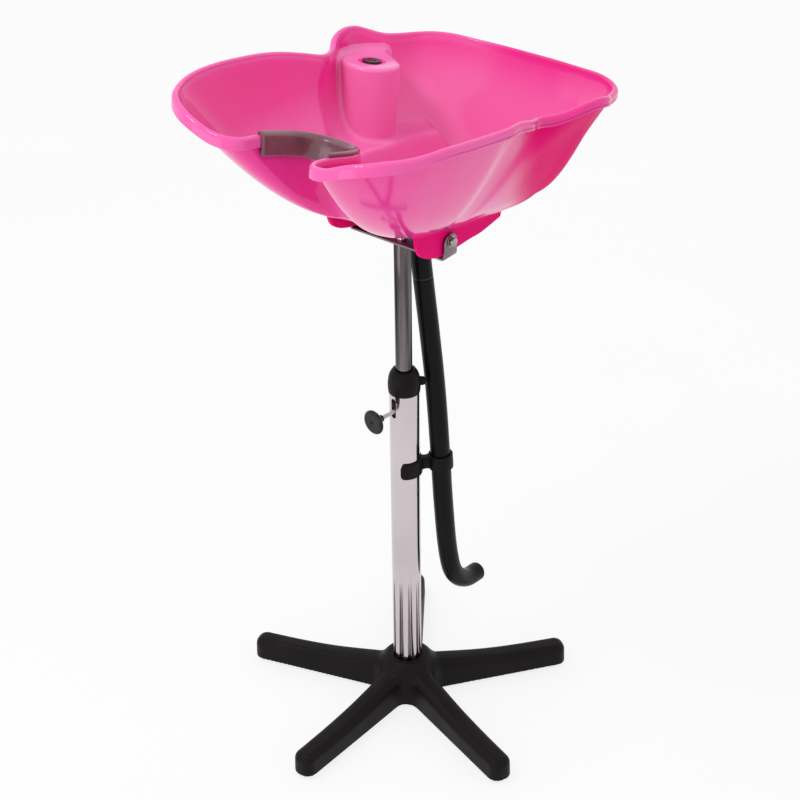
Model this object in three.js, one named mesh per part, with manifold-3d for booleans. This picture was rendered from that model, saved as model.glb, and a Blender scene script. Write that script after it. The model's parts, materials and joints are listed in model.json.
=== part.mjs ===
import * as THREE from 'three';
import { mergeVertices } from 'three/addons/utils/BufferGeometryUtils.js';
import Module from 'manifold-3d';

const wasm = await Module();
wasm.setup();

// A backwash shampoo unit: a moulded bowl with a neck recess, tilting on a steel bracket,
// carried by a height adjustable chrome column on a five leg base, with a waste hose.
// Millimetres, Z up. The neck recess faces -Y and the mirror plane of the bowl is X = 0.

// Clearances shared by the whole unit
const seatGap = 0.3;
const runGap = 0.4;
const cutOverrun = 2;
const degree = Math.PI / 180;

// Base star
const legCount = 5;
const legReach = 266;
const legRootWidth = 49;
const legTipWidth = 38;
const legRootHeight = 62;
const legTipHeight = 32;
const legWall = 4;
const legSolidTip = 38;
const legHollowStart = 34;
const legFirstAngle = -90 * degree;
const hubHeight = 76;
const hubTopRadius = 30;
const hubFootRadius = 46;
const hubFloorLow = 16;
const hubFloorThickness = 8;
const hubRecessRadius = 22;

// Rubber feet
const footRadius = 13;
const footChamfer = 1;
const footHeight = 5;
const footPegRadius = 4;
const footPegLength = 10;

// Column tubes
const outerTubeRadius = 22.5;
const outerTubeWall = 1.6;
const outerTubeTop = 588;
const fingerCount = 10;
const fingerLength = 150;
const fingerGapFoot = 5.5;
const innerTubeRadius = 12.5;
const innerTubeWall = 1.5;
const innerTubeLow = 300;
const endPlugFlange = 4;
const slotWidth = 9;
const slotHeight = 33;
const slotDrop = 27;
const slotTop = outerTubeTop - slotDrop;

// Spigot that the outer tube stands over
const spigotTop = 226;
const spigotFlange = 3;
const spigotBoltRadius = 5;
const spigotBoltDepth = 34;
const spigotBore = 14.5;
const boltHeadRadius = 8.5;
const boltHeadHeight = 6;
const washerRadius = 14;
const washerThickness = 2;

// Collar and its sleeve at the top of the outer tube
const collarRadius = 24.2;
const collarTopRadius = 16.5;
const collarHeight = 38;
const collarOverlap = 22;
const sleeveReach = 88;
const collarLow = outerTubeTop - collarOverlap;
const sleeveLow = outerTubeTop - sleeveReach;
const collarEarRadius = 6;
const collarEarReach = 8;
const collarEarWidth = 8;

// Height clamp: a knob on a screw that presses a pad on the inner tube
const clampAngle = -97 * degree;
const clampDrop = 49;
const clampHeight = outerTubeTop - clampDrop;
const clampScrewRadius = 3;
const clampPadRadius = 3.4;
const clampPadLength = 5;
const clampBackRadius = 46;
const knobRadius = 19;
const knobRim = 7;
const knobConeLength = 13;
const knobNeckRadius = 5.5;
const nutPlateWidth = 7.4;
const nutPlateHeight = 26;
const nutPlateThickness = 3;

// Hose clip on the pole
const clipHeight = 437;
const clipBand = 26;
const clipWall = 3.2;
const clipWrap = 232 * degree;
const clipBridgeWidth = 13;
const hoseRingWall = 3.4;
const hoseRingBand = 24;

// Tilt bracket
const tiltAxisHeight = 838;
const bracketWidth = 28;
const bracketThickness = 3;
const bracketHalfSpan = 86;
const bracketStripDrop = 27;
const bracketStripLow = tiltAxisHeight - bracketStripDrop;
const bracketEarAbove = 11;
const tiltBoltRadius = 4;
const tiltBoltHeadRadius = 7.5;
const tiltBoltHeadHeight = 5;
const tiltNutHeight = 6;
const tiltNutRadius = 7;
const tiltWasherThickness = 1.2;
const tiltWasherRadius = 8.5;
const topPlugLength = 40;
const mastBoltRadius = 4;
const mastBoltHeadRadius = 7;
const mastBoltHeadHeight = 6;

// Bowl, in its own frame: the tilt axis is the origin and the rim is level
const bowlTiltBack = 9.1 * degree;
const bowlHalfWidth = 219;
const bowlLength = 572;
const rimRise = 202;
const bowlWall = 4;
const flangeWidth = 9;
const rimInset = 4;
const flangeDrop = 14;
const flangeRoll = 2.6;
const flangeWall = 3;
const neckHalfWidth = 59;
const neckDepth = 150;
const neckReach = 142.3;
const drainY = 50;
const floorRise = 12;
const footRise = 21;
const footBackRise = 28;
const footWidthShare = 0.411;
const footLengthShare = 0.2797;
const footCentreShare = 0.1311;
const footRoundShare = 0.5;
const footHalfWidth = footWidthShare * bowlHalfWidth;
const footHalfLength = footLengthShare * bowlLength;
const footCentreY = footCentreShare * bowlLength;
const stepRise = 10;
const stepShare = 0.04;
const ledgeRise = 42;
const ledgeShare = 0.16;
const ledgePowerShare = 4.5;
const ledgeStartShares = [0.33, 0.46];
const ledgeEndShares = [0.79, 0.91];
const evenReachShare = 0.06;
const evenCount = 3;
const evenStartShares = [0.25, 0.4];
const waveShares = [0.7, 1];
const frontPowerShare = 1.6;
const sidePowerShare = 1.35;
const backPowerShare = 1.8;
const frontSpanShares = [0.15, 0.5];
const backSpanShares = [0.6, 0.85];
const drainHoleRadius = 24;
const drainSeatRadius = 37;
const seatShare = 0.25;

// Tap pillar inside the bowl
const pillarSideShare = 0.7215;
const pillarBackShare = 0.1818;
const pillarX = -pillarSideShare * bowlHalfWidth;
const pillarY = pillarBackShare * bowlLength;
const pillarRadius = 42;
const pillarTop = 180;
const pillarLow = 20;
const pillarWall = 4;
const tapHoleRadius = 12;

// Mounting lugs under the bowl
const lugThickness = 7;
const lugGap = 2;
const lugReach = 122;
const lugTopRise = 60;

// Parts in and on the bowl
const padThickness = 5;
const padDrop = 25;
const plugDiscRadius = 14;
const plugSeatDepth = 1;
const plugDiscHeight = 3;
const plugStemLength = 9;
const strainerRadius = 34;
const strainerLip = 2.2;
const strainerSlots = 8;
const strainerSlotWidth = 4;
const strainerStemRadius = 4;
const tailLength = 44;
const tailRadius = 13;
const tailWall = 2.4;
const backNutRadius = 33;
const backNutHeight = 9;
const plugRadius = 20;
const plugDepth = 5;
const plugFlangeRadius = 26;
const plugFlangeHeight = 3;
const plugKnobRadius = 7;
const plugKnobHeight = 9;

// Waste hose
const hoseRadius = 15;
const hoseBore = 12;
const hoseSides = 12;
const hoseGrip = 24;
const gripRadius = hoseBore * Math.cos(Math.PI / hoseSides) - seatGap;
const joinerGrip = 12;
const joinerCollar = 4;
const joinerBore = 9;
const hoseClampBand = 9;
const hoseClampWall = 1.2;
const hoseClampScrew = 9;

// Build solids from closed meshes
function toSolid(geometry) {
  const bare = geometry.clone();
  bare.deleteAttribute('normal');
  bare.deleteAttribute('uv');
  const merged = mergeVertices(bare, 1e-4);
  return new wasm.Manifold(new wasm.Mesh({
    numProp: 3,
    vertProperties: new Float32Array(merged.attributes.position.array),
    triVerts: new Uint32Array(merged.index.array),
  }));
}

function toGeometry(solid) {
  const data = solid.getMesh();
  const geometry = new THREE.BufferGeometry();
  geometry.setAttribute('position', new THREE.BufferAttribute(data.vertProperties, 3));
  geometry.setIndex(new THREE.BufferAttribute(data.triVerts, 1));
  geometry.computeVertexNormals();
  return geometry;
}

function join(first, ...others) {
  let solid = toSolid(first);
  for (const other of others) solid = solid.add(toSolid(other));
  return toGeometry(solid);
}

function cut(first, ...others) {
  let solid = toSolid(first);
  for (const other of others) solid = solid.subtract(toSolid(other));
  return toGeometry(solid);
}

// A grid of rings closed both ways: the first ring joins the last, as the skin of a ring torus does
function closedLoft(rings) {
  return ringSkin(rings, true);
}

// A grid of rings whose first and last rings are filled flat
function cappedLoft(rings) {
  return ringSkin(rings, false);
}

function ringSkin(rings, closed) {
  const count = rings[0].length;
  const position = [];
  for (const ring of rings) for (const p of ring) position.push(p.x, p.y, p.z);
  const index = [];
  const last = closed ? rings.length : rings.length - 1;
  for (let i = 0; i < last; i += 1) {
    const next = (i + 1) % rings.length;
    for (let j = 0; j < count; j += 1) {
      const side = (j + 1) % count;
      const a = i * count + j;
      const b = i * count + side;
      const c = next * count + side;
      const d = next * count + j;
      index.push(a, b, c, a, c, d);
    }
  }
  if (!closed) {
    index.push(...capFaces(rings[0], 0, true));
    index.push(...capFaces(rings[rings.length - 1], (rings.length - 1) * count, false));
  }
  const geometry = new THREE.BufferGeometry();
  geometry.setAttribute('position', new THREE.Float32BufferAttribute(position, 3));
  geometry.setIndex(index);
  return orientOut(geometry);
}

// Fill a ring with triangles, flat in the plane that shows it largest
function capFaces(ring, offset, reverse) {
  const normal = new THREE.Vector3();
  ring.forEach((p, i) => {
    const q = ring[(i + 1) % ring.length];
    normal.x += (p.y - q.y) * (p.z + q.z);
    normal.y += (p.z - q.z) * (p.x + q.x);
    normal.z += (p.x - q.x) * (p.y + q.y);
  });
  normal.normalize();
  const side = Math.abs(normal.z) > 0.7 ? new THREE.Vector3(1, 0, 0) : new THREE.Vector3(0, 0, 1);
  const u = new THREE.Vector3().crossVectors(side, normal).normalize();
  const v = new THREE.Vector3().crossVectors(normal, u);
  const flat = ring.map((p) => new THREE.Vector2(p.dot(u), p.dot(v)));
  const faces = THREE.ShapeUtils.triangulateShape(flat, []);
  const index = [];
  for (const [a, b, c] of faces) {
    const swap = reverse ? [a, c, b] : [a, b, c];
    index.push(...swap.map((i) => i + offset));
  }
  return index;
}

// Turn every face about when the enclosed volume comes out negative
function orientOut(geometry) {
  const p = geometry.attributes.position;
  const index = geometry.index.array;
  const a = new THREE.Vector3();
  const b = new THREE.Vector3();
  const c = new THREE.Vector3();
  let volume = 0;
  for (let i = 0; i < index.length; i += 3) {
    a.fromBufferAttribute(p, index[i]);
    b.fromBufferAttribute(p, index[i + 1]);
    c.fromBufferAttribute(p, index[i + 2]);
    volume += a.dot(b.cross(c));
  }
  if (volume < 0) {
    for (let i = 0; i < index.length; i += 3) {
      [index[i + 1], index[i + 2]] = [index[i + 2], index[i + 1]];
    }
  }
  geometry.computeVertexNormals();
  return geometry;
}

// A solid of revolution about Z, from [radius, height] pairs
function turned(profile, sides = 32) {
  const points = profile.map(([r, z]) => new THREE.Vector2(r, z));
  const geometry = new THREE.LatheGeometry(points, sides).rotateX(Math.PI / 2);
  const merged = geometry.clone();
  merged.deleteAttribute('normal');
  merged.deleteAttribute('uv');
  return orientOut(cleaned(mergeVertices(merged, 1e-4)));
}

// Drop the triangles that merging has made into lines
function cleaned(geometry) {
  const index = geometry.index.array;
  const kept = [];
  for (let i = 0; i < index.length; i += 3) {
    const [a, b, c] = [index[i], index[i + 1], index[i + 2]];
    if (a !== b && b !== c && c !== a) kept.push(a, b, c);
  }
  geometry.setIndex(kept);
  return geometry;
}

// A plain round bar along Z from low to high
function bar(radius, low, high, sides = 32) {
  const geometry = new THREE.CylinderGeometry(radius, radius, high - low, sides);
  return geometry.rotateX(Math.PI / 2).translate(0, 0, (low + high) / 2);
}

// A tube along Z from low to high
function pipe(outer, inner, low, high, sides = 32) {
  return turned([[inner, low], [outer, low], [outer, high], [inner, high], [inner, low]], sides);
}

// A six sided nut along Z with a round bore
function hexNut(outer, inner, low, high) {
  return cut(bar(outer, low, high, 6), bar(inner, low - cutOverrun, high + cutOverrun, 28));
}

// A box from its lowest to its highest corner
function block(low, high) {
  const size = high.map((h, i) => h - low[i]);
  const middle = high.map((h, i) => (h + low[i]) / 2);
  return new THREE.BoxGeometry(...size).translate(...middle);
}

// A flat outline of [a, b] pairs with a thickness: in the YZ plane, thick along X
function plateYZ(outline, thickness, xLow, holes = []) {
  const shape = new THREE.Shape(outline.map(([y, z]) => new THREE.Vector2(y, z)));
  for (const [y, z, radius] of holes) {
    shape.holes.push(new THREE.Path().absarc(y, z, radius, 0, 2 * Math.PI, true));
  }
  const solid = new THREE.ExtrudeGeometry(shape, {
    depth: thickness, bevelEnabled: false, curveSegments: 12,
  });
  const swap = new THREE.Matrix4().makeBasis(
    new THREE.Vector3(0, 1, 0), new THREE.Vector3(0, 0, 1), new THREE.Vector3(1, 0, 0));
  return solid.applyMatrix4(swap).translate(xLow, 0, 0);
}

function material(color, roughness, metalness = 0) {
  return new THREE.MeshStandardMaterial({ color, roughness, metalness });
}

const pink = material(0xee3f94, 0.18);
const blackNylon = material(0x1d191b, 0.55);
const blackRubber = material(0x2a2224, 0.6);
const chrome = material(0xc9c4c6, 0.12, 1);
const darkSteel = material(0x55494c, 0.35, 1);
const zinc = material(0xa8a0a0, 0.3, 1);
const padRubber = material(0x6e5a5c, 0.45);
const greyPlastic = material(0x8b8688, 0.5);

function piece(name, geometry, surface, parent) {
  const mesh = new THREE.Mesh(geometry, surface);
  mesh.name = name;
  parent.add(mesh);
  return mesh;
}

const unit = new THREE.Group();

// Base star: five legs lofted outwards and joined with a hub
function legRing(radius, halfWidth, low, high) {
  const ring = [];
  const steps = 6;
  for (let i = 0; i <= steps; i += 1) {
    const a = (Math.PI * i) / steps;
    const across = Math.sign(Math.cos(a)) * Math.abs(Math.cos(a)) ** 0.45;
    const up = Math.sin(a) ** 0.6;
    ring.push(new THREE.Vector3(radius, across * halfWidth, low + (high - low) * (0.35 + 0.65 * up)));
  }
  ring.push(new THREE.Vector3(radius, -halfWidth * 0.97, low));
  ring.push(new THREE.Vector3(radius, halfWidth * 0.97, low));
  return ring;
}

function legSolid(inset, start, end, low) {
  const stations = 4;
  const rings = [];
  for (let i = 0; i <= stations; i += 1) {
    const t = i / stations;
    const radius = start + (end - start) * t;
    const share = radius / legReach;
    const half = (legRootWidth + (legTipWidth - legRootWidth) * share) / 2 - inset;
    const drop = (legRootHeight - legTipHeight) * (1 - (1 - share) ** 1.5);
    const top = footHeight + legRootHeight - drop - inset;
    rings.push(legRing(radius, half, low, top));
  }
  if (inset === 0) {
    const round = legTipHeight / 5;
    rings.push(legRing(end + round * 0.7, legTipWidth / 2 - round * 0.35, low + round * 0.2,
      footHeight + legTipHeight - round * 0.35));
    rings.push(legRing(end + round, legTipWidth / 2 - round, low + round * 0.6,
      footHeight + legTipHeight - round));
  }
  return cappedLoft(rings);
}

function baseStar() {
  const tipRound = legTipHeight / 5;
  let solid = toSolid(turned([
    [0, footHeight], [hubFootRadius, footHeight], [hubFootRadius, footHeight + legTipHeight / 2],
    [hubFootRadius * 0.8, legRootHeight * 0.86], [hubTopRadius * 1.15, hubHeight - legWall],
    [hubTopRadius, hubHeight], [0, hubHeight]], 40));
  for (let i = 0; i < legCount; i += 1) {
    const turn = legFirstAngle + (2 * Math.PI * i) / legCount;
    const leg = legSolid(0, hubTopRadius / 2, legReach - tipRound, footHeight);
    solid = solid.add(toSolid(leg.rotateZ(turn)));
  }
  for (let i = 0; i < legCount; i += 1) {
    const turn = legFirstAngle + (2 * Math.PI * i) / legCount;
    const hollow = legSolid(legWall, legHollowStart, legReach - legSolidTip, footHeight - cutOverrun);
    solid = solid.subtract(toSolid(hollow.rotateZ(turn)));
    const peg = bar(footPegRadius + seatGap, footHeight - cutOverrun,
      footHeight + footPegLength + seatGap, 16);
    const place = legReach - legSolidTip / 2;
    peg.translate(place * Math.cos(turn), place * Math.sin(turn), 0);
    solid = solid.subtract(toSolid(peg));
  }
  const spigotWell = outerTubeRadius - outerTubeWall - runGap;
  solid = solid.subtract(toSolid(bar(spigotWell + seatGap, hubFloorLow + hubFloorThickness,
    hubHeight + cutOverrun, 40)));
  solid = solid.subtract(toSolid(bar(spigotBoltRadius + seatGap, 0, hubHeight, 16)));
  solid = solid.subtract(toSolid(bar(hubRecessRadius, 0, hubFloorLow, 24)));
  return toGeometry(solid);
}

const base = new THREE.Group();
unit.add(base);
piece('base_star', baseStar(), blackNylon, base);

for (let i = 0; i < legCount; i += 1) {
  const turn = legFirstAngle + (2 * Math.PI * i) / legCount;
  const place = legReach - legSolidTip / 2;
  const foot = turned([
    [0, 0], [footRadius - footChamfer, 0], [footRadius, footChamfer], [footRadius, footHeight - seatGap],
    [footPegRadius, footHeight - seatGap], [footPegRadius, footHeight + footPegLength],
    [0, footHeight + footPegLength]], 14);
  const mesh = piece(`rubber_foot_${i + 1}`, foot, blackRubber, base);
  mesh.position.set(place * Math.cos(turn), place * Math.sin(turn), 0);
}

const hubFloorTop = hubFloorLow + hubFloorThickness;
const spigotRadius = outerTubeRadius - outerTubeWall - runGap;
piece('pole_spigot', cut(
  turned([[0, hubFloorTop + seatGap], [spigotRadius, hubFloorTop + seatGap],
    [spigotRadius, spigotTop - spigotFlange], [spigotRadius - spigotFlange, spigotTop],
    [0, spigotTop]], 32),
  bar(spigotBoltRadius + seatGap, 0, hubFloorTop + spigotBoltDepth + seatGap, 16),
  bar(spigotBore, hubFloorTop + spigotBoltDepth, spigotTop + cutOverrun, 24),
), blackNylon, base);

// A bolt along Z: a shank from low to high and a six sided head below the seat height
function boltBelow(radius, headRadius, headHeight, seat, high) {
  return join(bar(radius, seat - headHeight / 2, high, 16), bar(headRadius, seat - headHeight, seat, 6));
}
piece('hub_bolt', boltBelow(spigotBoltRadius, boltHeadRadius, boltHeadHeight,
  hubFloorLow - washerThickness - 2 * seatGap, hubFloorTop + spigotBoltDepth), zinc, base);
piece('hub_washer', pipe(washerRadius, spigotBoltRadius + seatGap,
  hubFloorLow - washerThickness - seatGap, hubFloorLow - seatGap, 24), zinc, base);

// Outer tube: its lower end is slit into fingers that stand round the spigot
function fingerGap(index) {
  const low = hubHeight + seatGap;
  const start = low - cutOverrun;
  const half = fingerGapFoot / 2;
  const flare = half * 1.5;
  const outline = [[-flare, start], [flare, start], [half, low + half * 2],
    [half * 0.8, low + fingerLength / 2], [0.4 * half, low + fingerLength * 0.9], [0, low + fingerLength],
    [-0.4 * half, low + fingerLength * 0.9], [-half * 0.8, low + fingerLength / 2], [-half, low + half * 2]];
  const wedge = plateYZ(outline, outerTubeRadius, spigotRadius / 2);
  return wedge.rotateZ(clampAngle + (2 * Math.PI * (index + 0.5)) / fingerCount);
}

function outerTube() {
  const tube = pipe(outerTubeRadius, outerTubeRadius - outerTubeWall, hubHeight + seatGap, outerTubeTop, 36);
  const middle = slotTop - slotHeight / 2;
  const halfRun = (slotHeight - slotWidth) / 2;
  const shape = new THREE.Shape();
  shape.absarc(0, middle + halfRun, slotWidth / 2, 0, Math.PI, false);
  shape.absarc(0, middle - halfRun, slotWidth / 2, Math.PI, 2 * Math.PI, false);
  const outline = shape.getPoints(6).map((p) => [p.x, p.y]);
  const slot = plateYZ(outline.slice(0, -1), outerTubeRadius, outerTubeRadius / 2).rotateZ(clampAngle);
  const gaps = [...Array(fingerCount).keys()].map(fingerGap);
  return cut(tube, slot, ...gaps);
}
piece('outer_tube', outerTube(), chrome, base);

// Collar: a domed cap over the tube's end, with a sleeve down inside it
function collar() {
  const tubeBore = outerTubeRadius - outerTubeWall - seatGap;
  const slide = innerTubeRadius + runGap;
  const top = collarLow + collarHeight;
  const body = turned([
    [slide, sleeveLow], [tubeBore, sleeveLow], [tubeBore, outerTubeTop + seatGap],
    [outerTubeRadius + seatGap, outerTubeTop + seatGap], [outerTubeRadius + seatGap, collarLow],
    [collarRadius * 0.96, collarLow], [collarRadius, collarLow + collarHeight * 0.18],
    [collarRadius, collarLow + collarHeight * 0.42], [collarRadius * 0.95, collarLow + collarHeight * 0.66],
    [collarRadius * 0.86, collarLow + collarHeight * 0.86], [collarTopRadius, top],
    [slide, top], [slide, sleeveLow]], 28);
  const ear = new THREE.CylinderGeometry(collarEarRadius, collarEarRadius, collarEarWidth, 16);
  ear.translate(collarRadius + collarEarReach - collarEarRadius, 0, collarLow + collarHeight * 0.45);
  const web = block([outerTubeRadius + outerTubeWall, -collarEarWidth / 2, collarLow + collarHeight * 0.35],
    [collarRadius + collarEarReach - collarEarRadius, collarEarWidth / 2, collarLow + collarHeight * 0.58]);
  const lug = cut(join(ear, web), bar(outerTubeRadius + seatGap, sleeveLow, collarLow + collarHeight, 40));
  lug.rotateZ(clampAngle + Math.PI * 0.75);
  const screwWay = bar(clampPadRadius + seatGap, innerTubeRadius / 2, outerTubeRadius, 16);
  return cut(join(body, lug), alongClamp(screwWay), alongClamp(nutPlateSolid(seatGap)));
}

// Turn a piece drawn along Z so that it lies along the clamp's axis
function alongClamp(geometry) {
  return geometry.rotateY(Math.PI / 2).rotateZ(clampAngle).translate(0, 0, clampHeight);
}

// A nut plate sits in a pocket of the sleeve, behind the slot
function nutPlateSolid(grow) {
  const high = outerTubeRadius - outerTubeWall - 2 * seatGap + grow;
  const low = high - nutPlateThickness - 2 * grow;
  return block([-nutPlateHeight / 2 - grow, -nutPlateWidth / 2 - grow, low],
    [nutPlateHeight / 2 + grow, nutPlateWidth / 2 + grow, high]);
}

piece('column_collar', collar(), blackNylon, base);
piece('clamp_nut_plate', cut(alongClamp(nutPlateSolid(0)),
  alongClamp(bar(clampPadRadius + seatGap, innerTubeRadius, outerTubeRadius, 16))), zinc, base);

// Clamp knob, its screw and the pad at the screw's tip
const padFace = innerTubeRadius + seatGap;
piece('clamp_pad', alongClamp(bar(clampPadRadius, padFace, padFace + clampPadLength, 16)), greyPlastic, base);

function clampKnob() {
  const back = clampBackRadius;
  const face = back + knobConeLength + knobRim;
  const tip = padFace + clampPadLength + seatGap;
  const profile = [[0, tip], [clampScrewRadius, tip], [clampScrewRadius, back],
    [knobNeckRadius, back], [knobNeckRadius * 1.2, back + knobConeLength * 0.4],
    [knobRadius * 0.86, back + knobConeLength], [knobRadius, back + knobConeLength + knobRim * 0.3],
    [knobRadius, back + knobConeLength + knobRim * 0.7], [knobRadius * 0.86, face],
    [knobRadius * 0.2, face - knobRim * 0.1], [knobRadius * 0.12, face - knobRim * 0.4],
    [0, face - knobRim * 0.4]];
  return alongClamp(turned(profile, 22));
}
piece('clamp_knob', clampKnob(), blackNylon, base);

// Waste hose route in the unit's frame, from the joiner down through the ring to its free end
const hoseRoute = [
  [3.5, 41.8, 740], [7.5, 42.5, 704], [12, 43.2, 666], [16.5, 43.6, 627], [21, 43.8, 588],
  [25.2, 43.6, 548], [29.2, 42.9, 508], [32.6, 42, 471], [35.5, 41.5, 437], [38.4, 42, 384],
  [40.7, 43.7, 337], [42.8, 46, 294], [45, 49.6, 258], [46.2, 56.6, 229], [46.3, 72.5, 205],
  [45.5, 96, 189], [44, 124.5, 183],
].map((p) => new THREE.Vector3(...p));
// The short connector from the tailpiece to the joiner
const connectorRoute = [
  [0, 45.9, 808.5], [0, 44, 796.6], [0, 42.1, 784.7], [0.8, 41.1, 768], [2, 41.3, 754], [3.5, 41.8, 740],
].map((p) => new THREE.Vector3(...p));
const hosePath = new THREE.CatmullRomCurve3(hoseRoute);
const ringIndex = 8;
const ringPlace = hoseRoute[ringIndex];

// Hose clip: a C round the pole, a bridge, and the ring that holds the hose
function poleClip() {
  const inner = outerTubeRadius + runGap;
  const outer = inner + clipWall;
  const toRing = Math.atan2(ringPlace.y, ringPlace.x);
  const reach = Math.hypot(ringPlace.x, ringPlace.y);
  const arc = new THREE.Shape();
  arc.absarc(0, 0, outer, -clipWrap / 2, clipWrap / 2, false);
  arc.absarc(0, 0, inner, clipWrap / 2, -clipWrap / 2, true);
  const band = new THREE.ExtrudeGeometry(arc, { depth: clipBand, bevelEnabled: false, curveSegments: 12 });
  const ringOuter = hoseRadius + runGap + hoseRingWall;
  const bridge = block([inner + clipWall / 2, -clipBridgeWidth / 2, 0],
    [reach - hoseRadius - runGap - hoseRingWall / 2, clipBridgeWidth / 2, clipBand]);
  const ring = pipe(ringOuter, hoseRadius + runGap, -(hoseRingBand - clipBand) / 2,
    (hoseRingBand + clipBand) / 2, 28);
  const tangent = hosePath.getTangent(ringIndex / (hoseRoute.length - 1)).negate();
  const lean = new THREE.Quaternion().setFromUnitVectors(new THREE.Vector3(0, 0, 1), tangent);
  ring.translate(0, 0, -clipBand / 2).applyQuaternion(lean).translate(ringPlace.x, ringPlace.y, 0);
  const solid = toSolid(band.translate(0, 0, -clipBand / 2).rotateZ(toRing))
    .add(toSolid(bridge.translate(0, 0, -clipBand / 2).rotateZ(toRing)));
  const way = bar(hoseRadius + runGap, -hoseRingBand, hoseRingBand, 28);
  way.applyQuaternion(lean).translate(ringPlace.x, ringPlace.y, 0);
  return toGeometry(solid.add(toSolid(ring)).subtract(toSolid(way)).translate([0, 0, clipHeight]));
}
piece('hose_clip', poleClip(), blackNylon, base);

// Inner tube with an end plug below and a threaded plug above
const column = new THREE.Group();
unit.add(column);
const stripTop = bracketStripLow + bracketThickness;
piece('inner_tube', pipe(innerTubeRadius, innerTubeRadius - innerTubeWall, innerTubeLow,
  bracketStripLow - seatGap, 32), chrome, column);
const tubeBoreRadius = innerTubeRadius - innerTubeWall - seatGap;
piece('tube_end_plug', turned([
  [0, innerTubeLow - endPlugFlange], [innerTubeRadius, innerTubeLow - endPlugFlange],
  [innerTubeRadius, innerTubeLow - seatGap], [tubeBoreRadius, innerTubeLow - seatGap],
  [tubeBoreRadius, innerTubeLow + topPlugLength / 2], [0, innerTubeLow + topPlugLength / 2]], 32),
blackNylon, column);
piece('mast_plug', cut(
  bar(tubeBoreRadius, bracketStripLow - topPlugLength, bracketStripLow - seatGap, 28),
  bar(mastBoltRadius + seatGap, bracketStripLow - topPlugLength * 0.8, bracketStripLow + cutOverrun, 16),
), darkSteel, column);
piece('mast_bolt', join(
  bar(mastBoltRadius, bracketStripLow - topPlugLength * 0.75,
    stripTop + seatGap + mastBoltHeadHeight / 2, 16),
  bar(mastBoltHeadRadius, stripTop + seatGap, stripTop + seatGap + mastBoltHeadHeight, 6),
), chrome, column);

// Tilt bracket: a strip bent up at both ends
function bracket() {
  const half = bracketWidth / 2;
  const inside = bracketHalfSpan - bracketThickness;
  const strip = block([-bracketHalfSpan, -half, bracketStripLow], [bracketHalfSpan, half, stripTop]);
  const ears = [-bracketHalfSpan, inside].map((x) => {
    const top = tiltAxisHeight + bracketEarAbove;
    const middle = bracketStripLow + bracketThickness / 2;
    const outline = [[-half, middle], [half, middle], [half, tiltAxisHeight]];
    const rounds = 6;
    for (let i = 1; i < rounds; i += 1) {
      const a = (Math.PI * i) / rounds;
      outline.push([half * Math.cos(a), tiltAxisHeight + (top - tiltAxisHeight) * Math.sin(a)]);
    }
    outline.push([-half, tiltAxisHeight]);
    return plateYZ(outline, bracketThickness, x);
  });
  const way = bar(tiltBoltRadius + seatGap, -bracketHalfSpan - cutOverrun, bracketHalfSpan + cutOverrun, 20)
    .rotateY(Math.PI / 2).translate(0, 0, tiltAxisHeight);
  return cut(join(strip, ...ears), way, bar(mastBoltRadius + seatGap, bracketStripLow - cutOverrun,
    stripTop + cutOverrun, 16));
}
piece('tilt_bracket', bracket(), darkSteel, column);

// Bowl rim: half of it as shares, from the bend of the neck recess round to the middle of the back
const recessShares = [
  [0, 0, 0.703], [0.41, 0.02, 0.703], [0.75, 0.12, 0.718], [0.93, 0.333, 0.743], [1, 0.64, 0.777],
  [1.05, 0.853, 0.782],
];
const rimShares = [
  [0.356, -0.511, 0.79], [0.443, -0.52, 0.807], [0.534, -0.526, 0.847], [0.626, -0.526, 0.886],
  [0.721, -0.511, 0.911], [0.799, -0.491, 0.936], [0.872, -0.455, 0.95], [0.927, -0.407, 0.975],
  [0.954, -0.357, 0.995], [0.973, -0.297, 1.005], [0.977, -0.227, 1.01], [0.963, -0.129, 1.01],
  [0.927, -0.077, 1.005], [0.888, -0.003, 0.975], [0.845, 0.045, 0.955], [0.9, 0.105, 0.965],
  [0.968, 0.143, 1.015], [1, 0.187, 1.05], [1, 0.24, 1.05], [0.959, 0.271, 1.025],
  [0.9, 0.306, 0.995], [0.858, 0.353, 0.985], [0.804, 0.399, 0.99], [0.712, 0.427, 1.005],
  [0.589, 0.449, 1.01], [0.434, 0.467, 1], [0.228, 0.474, 1], [0, 0.4755, 1],
];
const neckBendY = rimShares[0][1] * bowlLength + neckReach;
const halfRim = [
  ...recessShares.map(([x, y, z]) => new THREE.Vector3(
    x * neckHalfWidth, neckBendY - y * neckDepth, z * rimRise)),
  ...rimShares.map(([x, y, z]) => new THREE.Vector3(x * bowlHalfWidth, y * bowlLength, z * rimRise)),
];
const mirrored = halfRim.slice(1, -1).reverse().map((p) => new THREE.Vector3(-p.x, p.y, p.z));
const rimCurve = new THREE.CatmullRomCurve3([...halfRim, ...mirrored], true, 'centripetal');
const stepsPerPoint = 2;
const rimSteps = stepsPerPoint * (2 * halfRim.length - 2);

// Direction from the middle of the foot towards each of the half rim's points, kept rising in the recess
const turnOf = (p) => Math.atan2(p.x, footCentreY - p.y);
const recessTurn = turnOf(halfRim[recessShares.length + 1]);
const rimTurns = halfRim.map((p, i) => Math.max(turnOf(p), 0) * (i > recessShares.length)
  + ((recessTurn * i) / (recessShares.length + 1)) * (i <= recessShares.length));

function wallTurn(share) {
  const spans = halfRim.length - 1;
  const along = (share % 1) * 2 * spans;
  const place = Math.min(along, 2 * spans - along);
  const index = Math.min(Math.floor(place), spans - 1);
  const turn = THREE.MathUtils.lerp(rimTurns[index], rimTurns[index + 1], place - index);
  return along > spans ? -turn : turn;
}

// A sine or cosine drawn out towards the sides of a square
function squared(value) {
  return Math.sign(value) * Math.abs(value) ** footRoundShare;
}

// 0 in the neck recess and 1 at the middle of the back
function backShare(share) {
  return (1 - Math.cos(wallTurn(share))) / 2;
}

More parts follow.
